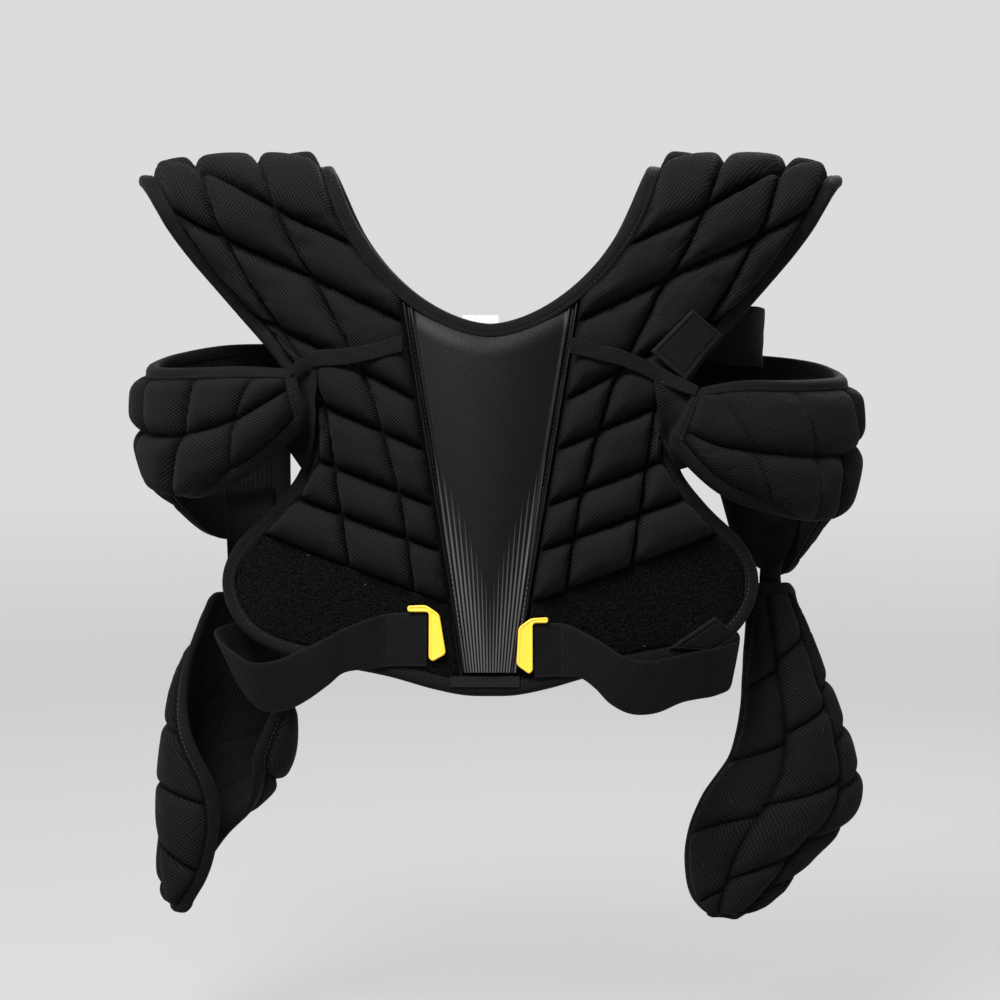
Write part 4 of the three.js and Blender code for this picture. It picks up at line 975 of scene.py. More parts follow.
front_places, front_inwards = edge_points(270)
places = np.concatenate([front_places, front_places[-2::-1] * [1, -1]])
inwards = np.concatenate([front_inwards, front_inwards[-2::-1] * [1, -1]])
for seed, (side, hand) in enumerate(SIDES):
    rings = tape_rings(places, inwards, side, 5 + seed)
    rings[[0, -1], :, 0] = side * 0.02
    edge_tape = swept_piece(f"edge_binding_{hand}_tape", rings, False, [tape_cloth])
    sew_on(edge_tape, f"edge_binding_{hand}", "binding", fill=TAPE_FILL)
    tape_stitches(f"edge_stitches_{hand}", places, inwards, side, f"edge_binding_{hand}")

# Shoulder caps
# Each cap is a short quilted sleeve, open above and below, that hangs at the armhole: a thin ribbed
# lining, a foam pad in two rows of cells set like bricks, and a tape round all four edges. Rows of the
# table run round the arm from the front inner edge to the back one, and x is measured outwards.
CAP_ROWS = {
    "left": {
        "rim_x": [121, 150, 185, 207, 213, 203, 174, 132],
        "rim_y": [-51, -51, -42, -24, -4, 16, 34, 47],
        "rim_z": [-128, -126, -126, -124, -119, -112, -105, -103],
        "hem_x": [109, 143, 176, 198, 206, 200, 178, 134],
        "hem_y": [-58, -57, -48, -28, -4, 18, 38, 55],
        "hem_z": [-160, -190, -206, -204, -200, -214, -234, -224],
    },
    "right": {
        "rim_x": [127, 152, 188, 214, 221, 211, 181, 122],
        "rim_y": [-50, -52, -44, -26, -4, 16, 35, 50],
        "rim_z": [-141, -135, -134, -131, -126, -118, -112, -108],
        "hem_x": [106, 140, 178, 206, 215, 209, 192, 164],
        "hem_y": [-59, -60, -52, -32, -6, 16, 34, 52],
        "hem_z": [-174, -205, -218, -221, -212, -228, -258, -244],
    },
}
CAP_BELLY = 6
CAP_LINER_TOP = 1.5
CAP_LINER_GRID = 3
CAP_LINER_SLACK = 0.35
CAP_LAYERS = {"foot": 2.2, "seam": 4.8, "top": 15, "edge": 0.12, "fill": 0.85}
CAP_SEAM_ROUND = 13
CAP_SEAMS = {
    "left": {
        "middle": {"a": [0, 0.07, 0.16, 0.3, 1], "b": [0.36, 0.42, 0.5, 0.53, 0.5]},
        "upper": {"top": [0.1, 0.257, 0.43, 0.6, 0.78], "foot": [0.17, 0.29, 0.43, 0.62, 0.8]},
        "lower": {"top": [0.17, 0.3, 0.5, 0.7, 0.87], "foot": [0.2, 0.37, 0.52, 0.7, 0.87]},
        "depth": [0.75, 1, 1, 0.9, 0.9],
    },
    "right": {
        "middle": {"a": [0, 0.08, 0.16, 0.3, 0.5, 1], "b": [0.72, 0.66, 0.6, 0.56, 0.52, 0.5]},
        "upper": {"top": [0.06, 0.26, 0.44, 0.6, 0.78], "foot": [0.2, 0.33, 0.5, 0.6, 0.8]},
        "lower": {"top": [0.19, 0.33, 0.42, 0.62, 0.8], "foot": [0.26, 0.36, 0.44, 0.62, 0.8]},
        "depth": [0.55, 0.4, 1, 0.9, 0.9],
    },
}
CAP_HEM_HANG = 9  # the foam hangs this far down over the hem tape and hides it
CAP_HEM_HIDDEN = (0.18, 0.36)  # from the first place on, round the cap; its front hem shows the tape
CAP_HEM_PRESS = 0.55  # how much flatter the tape is where it is hidden
HEM_PRESSED_FROM = (0.86, 0.96)
SHELL_TAPE_WIDTH = 8
SHELL_TAPE_LENGTH = 300
SHELL_TAPE_UNEVEN = 0.25
SHELL_TAPE_SECTION = {
    "share": [0, 0.08, 0.3, 0.55, 0.78, 0.92, 1, 1, 0.78, 0.5, 0.2, 0.04],
    "lift": [2.6, 5.1, 6.5, 6.9, 6.4, 6.6, 6, -0.6, -1, -1, -0.6, 0.6],
}
SHELL_STITCH = {"share": 0.78, "lift": 6.5}
SHELL_EDGE_ROUND = 8
SHELL_STEP = 0.004
SHELL_GRID = 1.4
SHELL_GATHERS = 0.5
SHELL_HOLLOW = 1.6


def table_curves(rows):
    """A smooth curve through each column of a table, from 0 at its first row to 1 at its last."""
    return {key: table_curve(np.linspace(0, 1, len(values)), values) for key, values in rows.items()}


def cap_shell(hand, side):
    """Points over a cap, round it by a and down it by b, at a height above its inside."""
    column = table_curves(CAP_ROWS[hand])

    def face(a, b):
        ends = [(side, "rim_x", "hem_x"), (1, "rim_y", "hem_y"), (1, "rim_z", "hem_z")]
        return np.stack([sign * mix(column[rim](a), column[hem](a), b) for sign, rim, hem in ends], axis=-1)

    def shell(a, b, lift):
        a, b, lift = same_shape(a, b, lift)
        belly = CAP_BELLY * np.sin(math.pi * np.clip(b, 0, 1))
        return lifted(face, a, b, SHELL_STEP, side * (lift + belly))

    return shell


def shell_sizes(shell):
    """Length of a shell down its middle, and curves of its length round at each b and height at each a."""
    steps = np.linspace(0, 1, 25)

    def run(points):
        return np.linalg.norm(np.diff(points, axis=0), axis=-1).sum(axis=0)

    down = float(run(shell(0.5, steps, 0)))
    lengths = run(shell(*np.meshgrid(steps, steps, indexing="ij"), 0))
    heights = np.linalg.norm(shell(steps, 1, 0) - shell(steps, 0, 0), axis=-1)
    return down, lambda b: np.interp(b, steps, lengths), lambda a: np.interp(a, steps, heights)


def shell_grid(shell, inset, step, hem_inset=None):
    """Places a and b over a shell, inside its tape, about one step apart."""
    down, around, height_at = shell_sizes(shell)
    columns, rows = int(around(0.5) / step), int(down / step)
    u, v = np.meshgrid(np.linspace(0, 1, columns), np.linspace(0, 1, rows))
    height = height_at(u)
    b = mix(inset / height, 1 - (inset if hem_inset is None else hem_inset(u)) / height, v)
    edge = inset / around(b)
    return mix(edge, 1 - edge, u), b


def hem_hidden(a):
    return smooth_step(a, *CAP_HEM_HIDDEN)


def seam_profile(distance, radius, depth):
    """How much of the padding's height is left at a distance from a seam."""
    return 1 - depth * (1 - rounded(distance, radius))


def cap_puff(hand, shell, a, b):
    """Fullness of a cap's foam, from 0 in a seam to 1 on a cell."""
    _, around, height_at = shell_sizes(shell)
    height = height_at(a)
    seams = CAP_SEAMS[hand]
    middle = np.interp(a, seams["middle"]["a"], seams["middle"]["b"])
    puff = seam_profile(np.abs(b - middle) * height, CAP_SEAM_ROUND, 1)
    rows = [("upper", b < middle, b / middle), ("lower", b >= middle, (b - middle) / (1 - middle))]
    for row, is_row, share in rows:
        for top, foot, depth in zip(seams[row]["top"], seams[row]["foot"], seams["depth"]):
            distance = np.abs(a - mix(top, foot, share)) * around(b)
            puff = puff * np.where(is_row, seam_profile(distance, CAP_SEAM_ROUND, depth), 1)
    to_side = np.minimum(a, 1 - a) * around(b) - SHELL_TAPE_WIDTH
    to_rim = b * height - SHELL_TAPE_WIDTH
    to_hem = (1 - b) * height - SHELL_TAPE_WIDTH * (1 - hem_hidden(a))
    edge = rounded(np.maximum(np.minimum(to_side, to_rim), 0), SHELL_EDGE_ROUND)
    edge = edge * rounded(np.maximum(to_hem, 0), CAP_HEM_HANG)
    return puff * mix(CAP_LAYERS["edge"], 1, edge)


def tape_path(shell):
    """Places round a shell's edge and beside them on the inner side of its tape, with round corners."""
    _, around, height = shell_sizes(shell)
    share = np.linspace(0, 1, 64)
    rim_a, hem_a, front_b, back_b = (
        mix(SHELL_TAPE_WIDTH / length, 1 - SHELL_TAPE_WIDTH / length, share)
        for length in (around(0.1), around(0.9), height(0), height(1))
    )
    sides = [
        (rim_a, 0 * share, rim_a, SHELL_TAPE_WIDTH / height(rim_a)),
        (1 + 0 * share, back_b, 1 - SHELL_TAPE_WIDTH / around(back_b), back_b),
        (hem_a[::-1], 1 + 0 * share, hem_a[::-1], 1 - SHELL_TAPE_WIDTH / height(hem_a[::-1])),
        (0 * share, front_b[::-1], SHELL_TAPE_WIDTH / around(front_b[::-1]), front_b[::-1]),
    ]
    outer, inner = [], []
    turn = np.linspace(0, math.pi / 2, 10)[1:-1, None]
    for number, (outer_a, outer_b, inner_a, inner_b) in enumerate(sides):
        after = sides[(number + 1) % 4]
        outer.append(np.stack([outer_a, outer_b], axis=-1))
        inner.append(np.stack([inner_a, inner_b], axis=-1))
        middle, end, start = inner[-1][-1], outer[-1][-1], np.array([after[0][0], after[1][0]])
        outer.append(middle + (end - middle) * np.cos(turn) + (start - middle) * np.sin(turn))
        inner.append(middle + 0 * turn)
    return np.concatenate(outer), np.concatenate(inner)


def shell_tape_rings(shell, thick, flat_hem, seed):
    """Rings of the tape round a shell, and the line of its stitches; the hem's tape may be pressed flat."""
    outer, inner = tape_path(shell)
    share, lift = (np.array(SHELL_TAPE_SECTION[key])[None] for key in ("share", "lift"))
    place = outer[:, None] + (inner - outer)[:, None] * share[..., None]
    run = np.linspace(0, SHELL_TAPE_LENGTH, len(outer))[:, None]
    uneven = SHELL_TAPE_UNEVEN * ripple(run, seed) * np.clip(lift - 2, 0, 3) / 3
    at_hem = hem_hidden(outer[:, :1]) * smooth_step(outer[:, 1:], *HEM_PRESSED_FROM)
    pressed = thick * (1 - flat_hem * at_hem)
    line = (outer + (inner - outer) * SHELL_STITCH["share"]).T
    stitch_lift = SHELL_STITCH["lift"] * pressed[:, 0]
    return (
        shell(place[..., 0], place[..., 1], (lift + uneven) * pressed),
        shell(*line, stitch_lift), shell(*line, stitch_lift + 1),
    )


def shell_tape(node, shell, thick, flat_hem, seed):
    """A tape round a shell, with its row of stitches."""
    rings, line, above = shell_tape_rings(shell, thick, flat_hem, seed)
    tape = swept_piece(node + "_tape", rings, True, [tape_cloth])
    sew_on(tape, node, "binding", fill=TAPE_FILL)
    stitch_row(node + "_stitches", line, above - line, node, "binding")


def quilted_shell(node, shell, a, b, puff, flat, hollow, layers, cloths, seed):
    """The quilted pad on a shell: foam that stands up between the seams, its face gathered beside them."""
    gathers = SHELL_GATHERS * ripple(flat.sum(axis=-1), seed) * np.exp(-puff * 3) * puff
    inner = shell(a, b, layers["foot"] + SHELL_HOLLOW * hollow)
    outer = blown_up(shell(a, b, mix(layers["seam"], layers["top"], puff) + gathers), inner, puff)
    # The groove mark paints shade into the seams between the cells.
    pad = sheet_piece(node + "_quilt", [(outer, inner, flat)], cloths, groove=1 - puff)
    sew_on(pad, node, "quilted_mesh", fill=layers["fill"])


CAP_LINER_CUT = {
    "left": {"flat": (0.25, 0.09), "area": 0.0172},
    "right": {"flat": (0.26, 0.1), "area": 0.0196},
}
caps = {}
for seed, (side, hand) in enumerate(SIDES):
    cap = caps[hand] = cap_shell(hand, side)
    inset = SHELL_TAPE_WIDTH - CLOTH_GAP
    a, b = shell_grid(cap, inset, SHELL_GRID, lambda a: mix(inset, 2 * CLOTH_GAP, hem_hidden(a)))
    down, around, height = shell_sizes(cap)
    to_hem = (1 - b) * height(a)
    over_tape = 1 - smooth_step(to_hem, CAP_HEM_HANG - 1, CAP_HEM_HANG + 2)
    flat = np.stack([side * a * around(0.5), b * down], axis=-1)
    puff = cap_puff(hand, cap, a, b)
    quilted_shell(
        f"cap_pad_{hand}", cap, a, b, puff, flat, over_tape, CAP_LAYERS, [mesh_cloth], 30 + seed,
    )
    a, b = shell_grid(cap, SHELL_TAPE_WIDTH - 2 * CLOTH_GAP, CAP_LINER_GRID)
    flat = np.stack([side * a * around(0.5), b * down], axis=-1)
    slack = CAP_LINER_SLACK * ripple(flat[..., 0] / 2, 40 + seed)
    liner = sheet_piece(
        f"cap_liner_{hand}_cloth", [(cap(a, b, CAP_LINER_TOP), cap(a, b, slack), flat)], [lining_cloth],
    )
    rests_on = [f"cap_binding_{hand}"]
    sew_on(liner, f"cap_liner_{hand}", "lining", held="hung", rests_on=rests_on, **CAP_LINER_CUT[hand])
    shell_tape(f"cap_binding_{hand}", cap, 1, CAP_HEM_PRESS, 50 + seed)

# Bicep pads
# Curled quilted pads that hang below the caps and wrap the upper arm: foam between the knitted mesh and
# the lining, with slanted seams, and a tape round the edge. Each row of the table is an arc seen from
# above, where 0 degrees faces the viewer and 90 degrees the viewer's right.
BICEP_ROWS = {
    "left": {
        "z": [-268, -292, -318, -348, -374, -397, -423, -447, -469],
        "x": [-161, -163, -166, -168, -171, -179, -185, -188.5, -191],
        "y": [-4, -3, 0, 4, 4, 2, -4, -8, -10],
        "half_width": [19, 23, 28, 32, 33, 26, 19, 15, 8],
        "half_depth": [17, 19, 23, 27, 26, 24, 19, 15, 12],
        "start": [-220, -232, -262, -308, -325, -288, -225, -185, -125],
        "end": [-115, -92, -72, -48, -17, 15, 35, 32, 0],
    },
    "right": {
        "z": [-262, -290, -318, -346, -376, -403, -432, -461, -475],
        "x": [182, 184, 187, 191, 192, 184, 167, 155, 150],
        "y": [22, 20, 18, 16, 16, 16, 16, 16, 14],
        "half_width": [12, 16, 21, 27, 36, 47, 40, 27, 9],
        "half_depth": [14, 18, 21, 23, 26, 28, 27, 25, 22],
        "start": [-64, -70, -74, -76, -76, -75, -72, -62, -40],
        "end": [70, 95, 105, 110, 108, 98, 88, 70, 30],
    },
}
BICEP_LAYERS = {"foot": 0, "seam": 3.6, "top": 10.5, "edge": 0.15, "fill": 0.75}
BICEP_SEAM_ROUND = 9
BICEP_UPRIGHT_DEPTH = 0.9
BICEP_INSET = SHELL_TAPE_WIDTH - 0.5
BICEP_SEAMS = {
    "left": {
        "upright": [0.3, 0.55], "slant": 0.25,
        "columns": [[0.12, 0.34, 0.56, 0.78], [0.23, 0.45, 0.67, 0.89], [0.16, 0.38, 0.6, 0.82]],
    },
    "right": {
        "upright": [0.37, 0.68], "slant": -0.22,
        "columns": [[0.29, 0.49, 0.69, 0.89], [0.19, 0.39, 0.59, 0.79], [0.29, 0.42, 0.55, 0.68, 0.81]],
    },
}
BICEP_FACING = {"left": -60, "right": 0}
BICEP_TAPE = 0.72  # how thick its tape is beside that of the caps


def bicep_shell(hand):
    """Points over a bicep pad, round it by a and down it by b, at a height above its inside, and the
    places of its cloth laid flat."""
    column = table_curves(BICEP_ROWS[hand])

    def face(a, b):
        turn = np.radians(mix(column["start"](b), column["end"](b), a))
        x = column["x"](b) + column["half_width"](b) * np.sin(turn)
        y = column["y"](b) - column["half_depth"](b) * np.cos(turn)
        return np.stack([x, y, column["z"](b)], axis=-1)

    def shell(a, b, lift):
        return lifted(face, *same_shape(a, b), SHELL_STEP, lift)

    def laid_flat(a, b):
        turn = np.radians(mix(column["start"](b), column["end"](b), a) - BICEP_FACING[hand])
        radius = (column["half_width"](b) + column["half_depth"](b)) / 2
        return np.stack([turn * radius, -column["z"](b)], axis=-1)

    return shell, laid_flat


def bicep_puff(hand, shell, a, b):
    """Fullness of a bicep pad's foam, from 0 in a seam to 1 on a cell."""
    down, around, _ = shell_sizes(shell)
    seams = BICEP_SEAMS[hand]
    puff = np.ones(a.shape)
    edges = [0, *seams["upright"], 1]
    for low, high, cross_seams in zip(edges, edges[1:], seams["columns"]):
        in_column = (a >= low) & (a <= high)
        for seam in cross_seams:
            distance = np.abs(b - seam - seams["slant"] * (a - (low + high) / 2)) * down
            puff = puff * np.where(in_column, seam_profile(distance, BICEP_SEAM_ROUND, 1), 1)
    for seam in seams["upright"]:
        puff = puff * seam_profile(np.abs(a - seam) * around(b), BICEP_SEAM_ROUND, BICEP_UPRIGHT_DEPTH)
    to_edge = np.minimum(np.minimum(b, 1 - b) * down, np.minimum(a, 1 - a) * around(b)) - BICEP_INSET
    return puff * mix(BICEP_LAYERS["edge"], 1, rounded(to_edge, SHELL_EDGE_ROUND))


biceps = {}
for seed, (_, hand) in enumerate(SIDES):
    bicep, laid_flat = bicep_shell(hand)
    biceps[hand] = bicep
    a, b = shell_grid(bicep, BICEP_INSET, SHELL_GRID)
    puff = bicep_puff(hand, bicep, a, b)
    hollow = (1 - puff) * smooth_step(puff, 0, 0.3)
    quilted_shell(
        f"bicep_pad_{hand}", bicep, a, b, puff, laid_flat(a, b), hollow, BICEP_LAYERS,
        [mesh_cloth, lining_cloth], 60 + seed,
    )
    shell_tape(f"bicep_binding_{hand}", bicep, BICEP_TAPE, 0, 70 + seed)

# Gussets
# A patch of the same knitted mesh joins the inner edge of each cap to the chest pad beside it, so that
# the cap can swing. It is a single layer, sewn down at both ends and slack between them.
SEWN_FOOT = PAD_TOP + CLOTH_GAP
GUSSETS = {
    "left": {"x": [-103, -103.5, -104, -107, -111.5], "s": [150, 166, 183, 199, 214]},
    "right": {"x": [97, 98.5, 101, 106, 112], "s": [155, 170, 186, 201, 212]},
}
GUSSET_LIFT = [18.2, 18.2, 16.5, 12.5, 11]
GUSSET_ON_CAP = {"a": [0, 0, 0, 0.03, 0.075], "b": [0.04, 0.35, 0.7, 1, 1]}
GUSSET_SAG = [1, 3, 5, 4, 1]
GUSSET_THICKNESS = 1.2
GUSSET_WIDTH = 24
GUSSET_SLACK = 0.9
GUSSET_SHADE = (0.3, 0.85)  # painted shade, darker towards its foot, where it lies deeper between the pads
GUSSET_TUCK = 5  # its end is sewn this far in behind the tape of the cap
GUSSET_SEAT = -1.8


def through_rows(rows, steps):
    """Smooth lines through rows of points, each span as long as its rows are far apart."""
    ends = [2 * rows[0] - rows[1], 2 * rows[-1] - rows[-2]]
    padded_rows = np.concatenate([ends[0][None], rows, ends[1][None]])
    place = np.linspace(0, len(rows) - 1, steps + 1)
    span = np.minimum(place.astype(int), len(rows) - 2)
    t = (place - span)[:, None, None]
    p0, p1, p2, p3 = (padded_rows[span + i] for i in range(4))
    spans = ((p0, p1), (p1, p2), (p2, p3))
    gaps = [np.linalg.norm(q - p, axis=-1, keepdims=True) ** 0.5 for p, q in spans]
    first = (p1 - p0) / gaps[0] - (p2 - p0) / (gaps[0] + gaps[1]) + (p2 - p1) / gaps[1]
    second = (p2 - p1) / gaps[1] - (p3 - p1) / (gaps[1] + gaps[2]) + (p3 - p2) / gaps[2]
    first, second = first * gaps[1], second * gaps[1]
    square = 3 * (p2 - p1) - 2 * first - second
    cubic = 2 * (p1 - p2) + first + second
    return p1 + first * t + square * t**2 + cubic * t**3


def strip_sheet(rows, steps, thickness, width, slack=0.0, seed=0):
    """Outer and inner points and flat places of a strip through rows of points across it."""
    middle = through_rows(np.asarray(rows), steps)
    normal = unit(np.cross(np.gradient(middle, axis=0), np.gradient(middle, axis=1)))
    run = run_along(middle)
    share = np.linspace(0, 1, middle.shape[1])[None] + 0 * run
    half = thickness / 2 * (1 - 0.5 * np.abs(2 * share - 1) ** 10)[..., None]
    middle = middle + normal * (slack * ripple(run / 3 + share * 7, seed))[..., None]
    return middle + normal * half, middle - normal * half, np.stack([share * width, run], axis=-1)


def between(start, end, share):
    return mix(start, end, share[:, None])


GUSSET_CUT = {"left": (0.022, 0.046), "right": (0.024, 0.045)}
for seed, (_, hand) in enumerate(SIDES):
    cap = caps[hand]
    _, around, height = shell_sizes(cap)
    share = np.linspace(0, 1, 24)
    chest = vest_point(GUSSETS[hand]["x"], GUSSETS[hand]["s"], GUSSET_LIFT)
    a, b = (np.array(GUSSET_ON_CAP[key], float) for key in "ab")
    a, b = np.maximum(a, GUSSET_TUCK / around(b)), np.minimum(b, 1 - GUSSET_TUCK / height(a))
    rows = [
        between(start, end, share) + np.outer(np.sin(math.pi * share), [0, sag, 0])
        for start, end, sag in zip(chest, cap(a, b, GUSSET_SEAT), GUSSET_SAG)
    ]
    strip = strip_sheet(rows, 60, GUSSET_THICKNESS, GUSSET_WIDTH, GUSSET_SLACK, 80 + seed)
    # Painted shade through the groove mark, darker towards the foot of the patch.
    deep = np.linspace(*GUSSET_SHADE, 61)[:, None] + 0 * share
    patch = sheet_piece(f"gusset_{hand}_cloth", [strip], [mesh_cloth], groove=deep)
    rests_on = [f"chest_pad_{hand}", f"cap_binding_{hand}"]
    sew_on(patch, f"gusset_{hand}", "quilted_mesh", flat=GUSSET_CUT[hand], held="hung", rests_on=rests_on)

# Side straps
# Broad black elastic runs from the loop panels, round the ribs, to the inside of the back. It is woven
# in fine ribs along its length with a paler edge, hangs slack in a loop at each side, and its front
# end is faced with hook tape that grips the pile.
STRAP_WIDTH = 32
STRAP_THICKNESS = 1.8
STRAP_SLACK = 0.25
STRAP_LIFT = LOOP_TOP + 2 * CLOTH_GAP + STRAP_THICKNESS / 2
STRAP_BACK_LIFT = -2.3 - STRAP_THICKNESS / 2
STRAP_FRONT = {
    "left": {"x": [-37.4, -60], "s": [314.8, 315]},
    "right": {"x": [26.4, 43], "s": [321.5, 321]},
}
STRAP_FREE = {
    "left": {
        "top_x": [-74, -87, -99, -114, -128, -144, -158, -171, -168, -150, -133, -127],
        "top_z": [-280, -285, -291, -298, -304, -306, -300, -291, -287, -284, -281, -279],
        "foot_x": [-72, -88, -97, -108, -119, -133, -145, -156, -157, -147, -133, -128],
        "foot_z": [-310, -312, -319, -327, -333, -336, -332, -322, -318, -315, -312, -310],
        "y": [-74, -78, -82, -84, -82, -75, -62, -44, -25, -17, -5, 14],
    },
    "right": {
        "top_x": [57, 68, 79, 91, 105, 122, 143, 155, 152, 138],
        "top_z": [-288, -294, -301, -304, -303, -300, -297, -294, -288, -282],
        "foot_x": [54, 63, 72, 84, 99, 116, 135, 149, 149, 138],
        "foot_z": [-315, -321, -330, -336, -336, -330, -328, -325, -319, -313],
        "y": [-77, -81, -84, -84, -81, -75, -62, -40, -15, 10],
    },
}
STRAP_BACK = {"x": [126, 104], "s": [-296, -298]}
STRAP_CUT = {"left": (0.032, 0.27), "right": (0.032, 0.255)}


def edged_tape(name, weave, weave_inputs, light, edge_colour, bump_depth):
    """Woven tape, with a paler edge."""
    return cloth_material(
        name, weave, weave_inputs, (0.0009, 0.0009, 0.001, 1), light, bump_depth,
        mark={"name": "edge_share", "from": 0.9, "to": 0.96, "share": 0.6, "colour": edge_colour},
        Roughness=0.7, Specular_IOR_Level=0.06, Sheen_Weight=0.015, Sheen_Roughness=0.4,
    )


def on_vest(x, s, width, lift, share):
    return between(vest_point(x, s - width / 2, lift), vest_point(x, s + width / 2, lift), share)


def strap_piece(node, cloth, rows, steps, thickness, width, seed, **sheet):
    """A strap through rows of points across it, a little uneven along its length."""
    strip = strip_sheet(rows, steps, thickness, width, STRAP_SLACK, seed)
    share = np.linspace(0, 1, strip[0].shape[1])[None] + np.zeros((steps + 1, 1))
    strap = sheet_piece(node + "_elastic", [strip], [cloth], edge_share=np.abs(2 * share - 1))
    sew_on(strap, node, "elastic", **sheet)


def free_rows(table, share):
    columns = zip(*(table[key] for key in ("top_x", "top_z", "foot_x", "foot_z", "y")))
    return [
        between(np.array([top_x, y, top_z], float), np.array([foot_x, y, foot_z], float), share)
        for top_x, top_z, foot_x, foot_z, y in columns
    ]


elastic = edged_tape(
    "elastic", rib_weave, {"Rib": 0.95, "Thread": 0.8},
    (0.0042, 0.0042, 0.0048, 1), (0.009, 0.009, 0.01, 1), 0.17,
)
share = np.linspace(0, 1, 26)
for seed, (side, hand) in enumerate(SIDES):
    front = STRAP_FRONT[hand]
    rows = [on_vest(x, s, STRAP_WIDTH, STRAP_LIFT, share) for x, s in zip(front["x"], front["s"])]
    rows += free_rows(STRAP_FREE[hand], share)
    for x, s in zip(STRAP_BACK["x"], STRAP_BACK["s"]):
        rows.append(on_vest(side * x, s, STRAP_WIDTH, STRAP_BACK_LIFT, share)[::-1])
    strap_piece(
        f"side_strap_{hand}", elastic, rows, 260, STRAP_THICKNESS, STRAP_WIDTH, 90 + seed,
        flat=STRAP_CUT[hand], held="hung", rests_on=[f"loop_panel_{hand}", f"back_panel_{hand}"],
    )
    over = STRAP_LIFT + STRAP_THICKNESS / 2
    line = on_vest(front["x"][1], front["s"][1], STRAP_WIDTH, over + STITCH["lift"], share)
    ups = on_vest(front["x"][1], front["s"][1], STRAP_WIDTH, over + 1, share) - line
    stitch_row(f"side_strap_{hand}_stitches", line, ups, f"side_strap_{hand}", "elastic")

# Pull tabs
# Yellow moulded angle pieces, one at the front end of each strap, to pull the hook tape off the pile.
# Their edges are rounded and a low rim runs round the face.
PULL_TABS = {
    "left": {
        "x": [-49, -38, -30, -26, -34, -36.2, -36.2, -49],
        "s": [294.5, 294, 299.5, 323.5, 328, 326, 298.2, 298.2],
    },
    "right": {
        "x": [34.3, 24, 16.8, 15.6, 23, 25.2, 25.2, 34.3],
        "s": [301.4, 302, 307.5, 330, 335.5, 333.5, 304.9, 304.9],
    },
}
TAB_RINGS = {
    "inset": [0.5, 0.1, 0, 0, 0.25, 0.8, 1.3, 1.6],
    "lift": [8.7, 8.9, 9.3, 10.5, 11, 11.2, 11.05, 10.75],
}
TAB_CORNER = 2.2
TAB_SHARP_FROM = 50
tab_rubber, tab_tree, tab_shader = new_material(
    "tab_rubber", Roughness=0.42, Specular_IOR_Level=0.4, Subsurface_Weight=0.05,
)
tab_place = put(tab_tree, "ShaderNodeTexCoord")
tab_marks = noise(tab_tree, tab_place.outputs["Object"], 260.0, 5.0)
tab_tree.links.new(
    blend_colours(tab_tree, tab_marks.outputs["Fac"], (0.9, 0.5, 0.03, 1), (0.95, 0.58, 0.05, 1)),
    tab_shader.inputs["Base Color"],
)
raise_surface(tab_tree, tab_shader, tab_marks.outputs["Fac"], 0.12)


def rounded_outline(points, radius, steps):
    """An outline whose corners are cut round, as points close together along it."""
    points = np.asarray(points, float)
    rounded_points = []
    for before, here, after in zip(np.roll(points, 1, axis=0), points, np.roll(points, -1, axis=0)):
        back, on = before - here, after - here
        reach = min(radius, np.linalg.norm(back) / 2.2, np.linalg.norm(on) / 2.2)
        start, end = here + unit(back) * reach, here + unit(on) * reach
        for t in np.linspace(0, 1, steps):
            rounded_points.append(mix(mix(start, here, t), mix(here, end, t), t))
    return np.array(rounded_points)


def outline_inset(outline, inset):
    """An outline moved inwards by a distance."""
    ahead = unit(np.roll(outline, -1, axis=0) - np.roll(outline, 1, axis=0))
    x, y = outline.T
    turn = np.sign(np.sum(x * np.roll(y, -1) - y * np.roll(x, -1)))
    return outline + turn * inset * np.stack([-ahead[:, 1], ahead[:, 0]], axis=-1)


def moulded_piece(name, outline, rings, materials):
    """A moulded plate on the vest: rings of its outline, each inset at its own height, and flat faces."""
    count = len(outline)
    levels = []
    for inset, lift in zip(rings["inset"], rings["lift"]):
        ring = outline_inset(outline, inset)
        levels.append(vest_point(ring[:, 0], ring[:, 1], lift))
    filling = tessellate_polygon([[(x, s, 0) for x, s in outline]])
    faces = [[a, b, c] for a, b, c in filling]
    faces += [[count * (len(levels) - 1) + i for i in (c, b, a)] for a, b, c in filling]
    faces += grid_quads(len(levels), count, wrap_columns=True).tolist()
    return new_object(name, (np.concatenate(levels) * MM).tolist(), faces, materials, TAB_SHARP_FROM)


for _, hand in SIDES:
    corners = np.stack([PULL_TABS[hand]["x"], PULL_TABS[hand]["s"]], axis=-1)
    outline = rounded_outline(corners, TAB_CORNER, 6)
    tab = moulded_piece(f"pull_tab_{hand}_moulding", outline, TAB_RINGS, [tab_rubber])
    sew_on(tab, f"pull_tab_{hand}", "pull_tab")

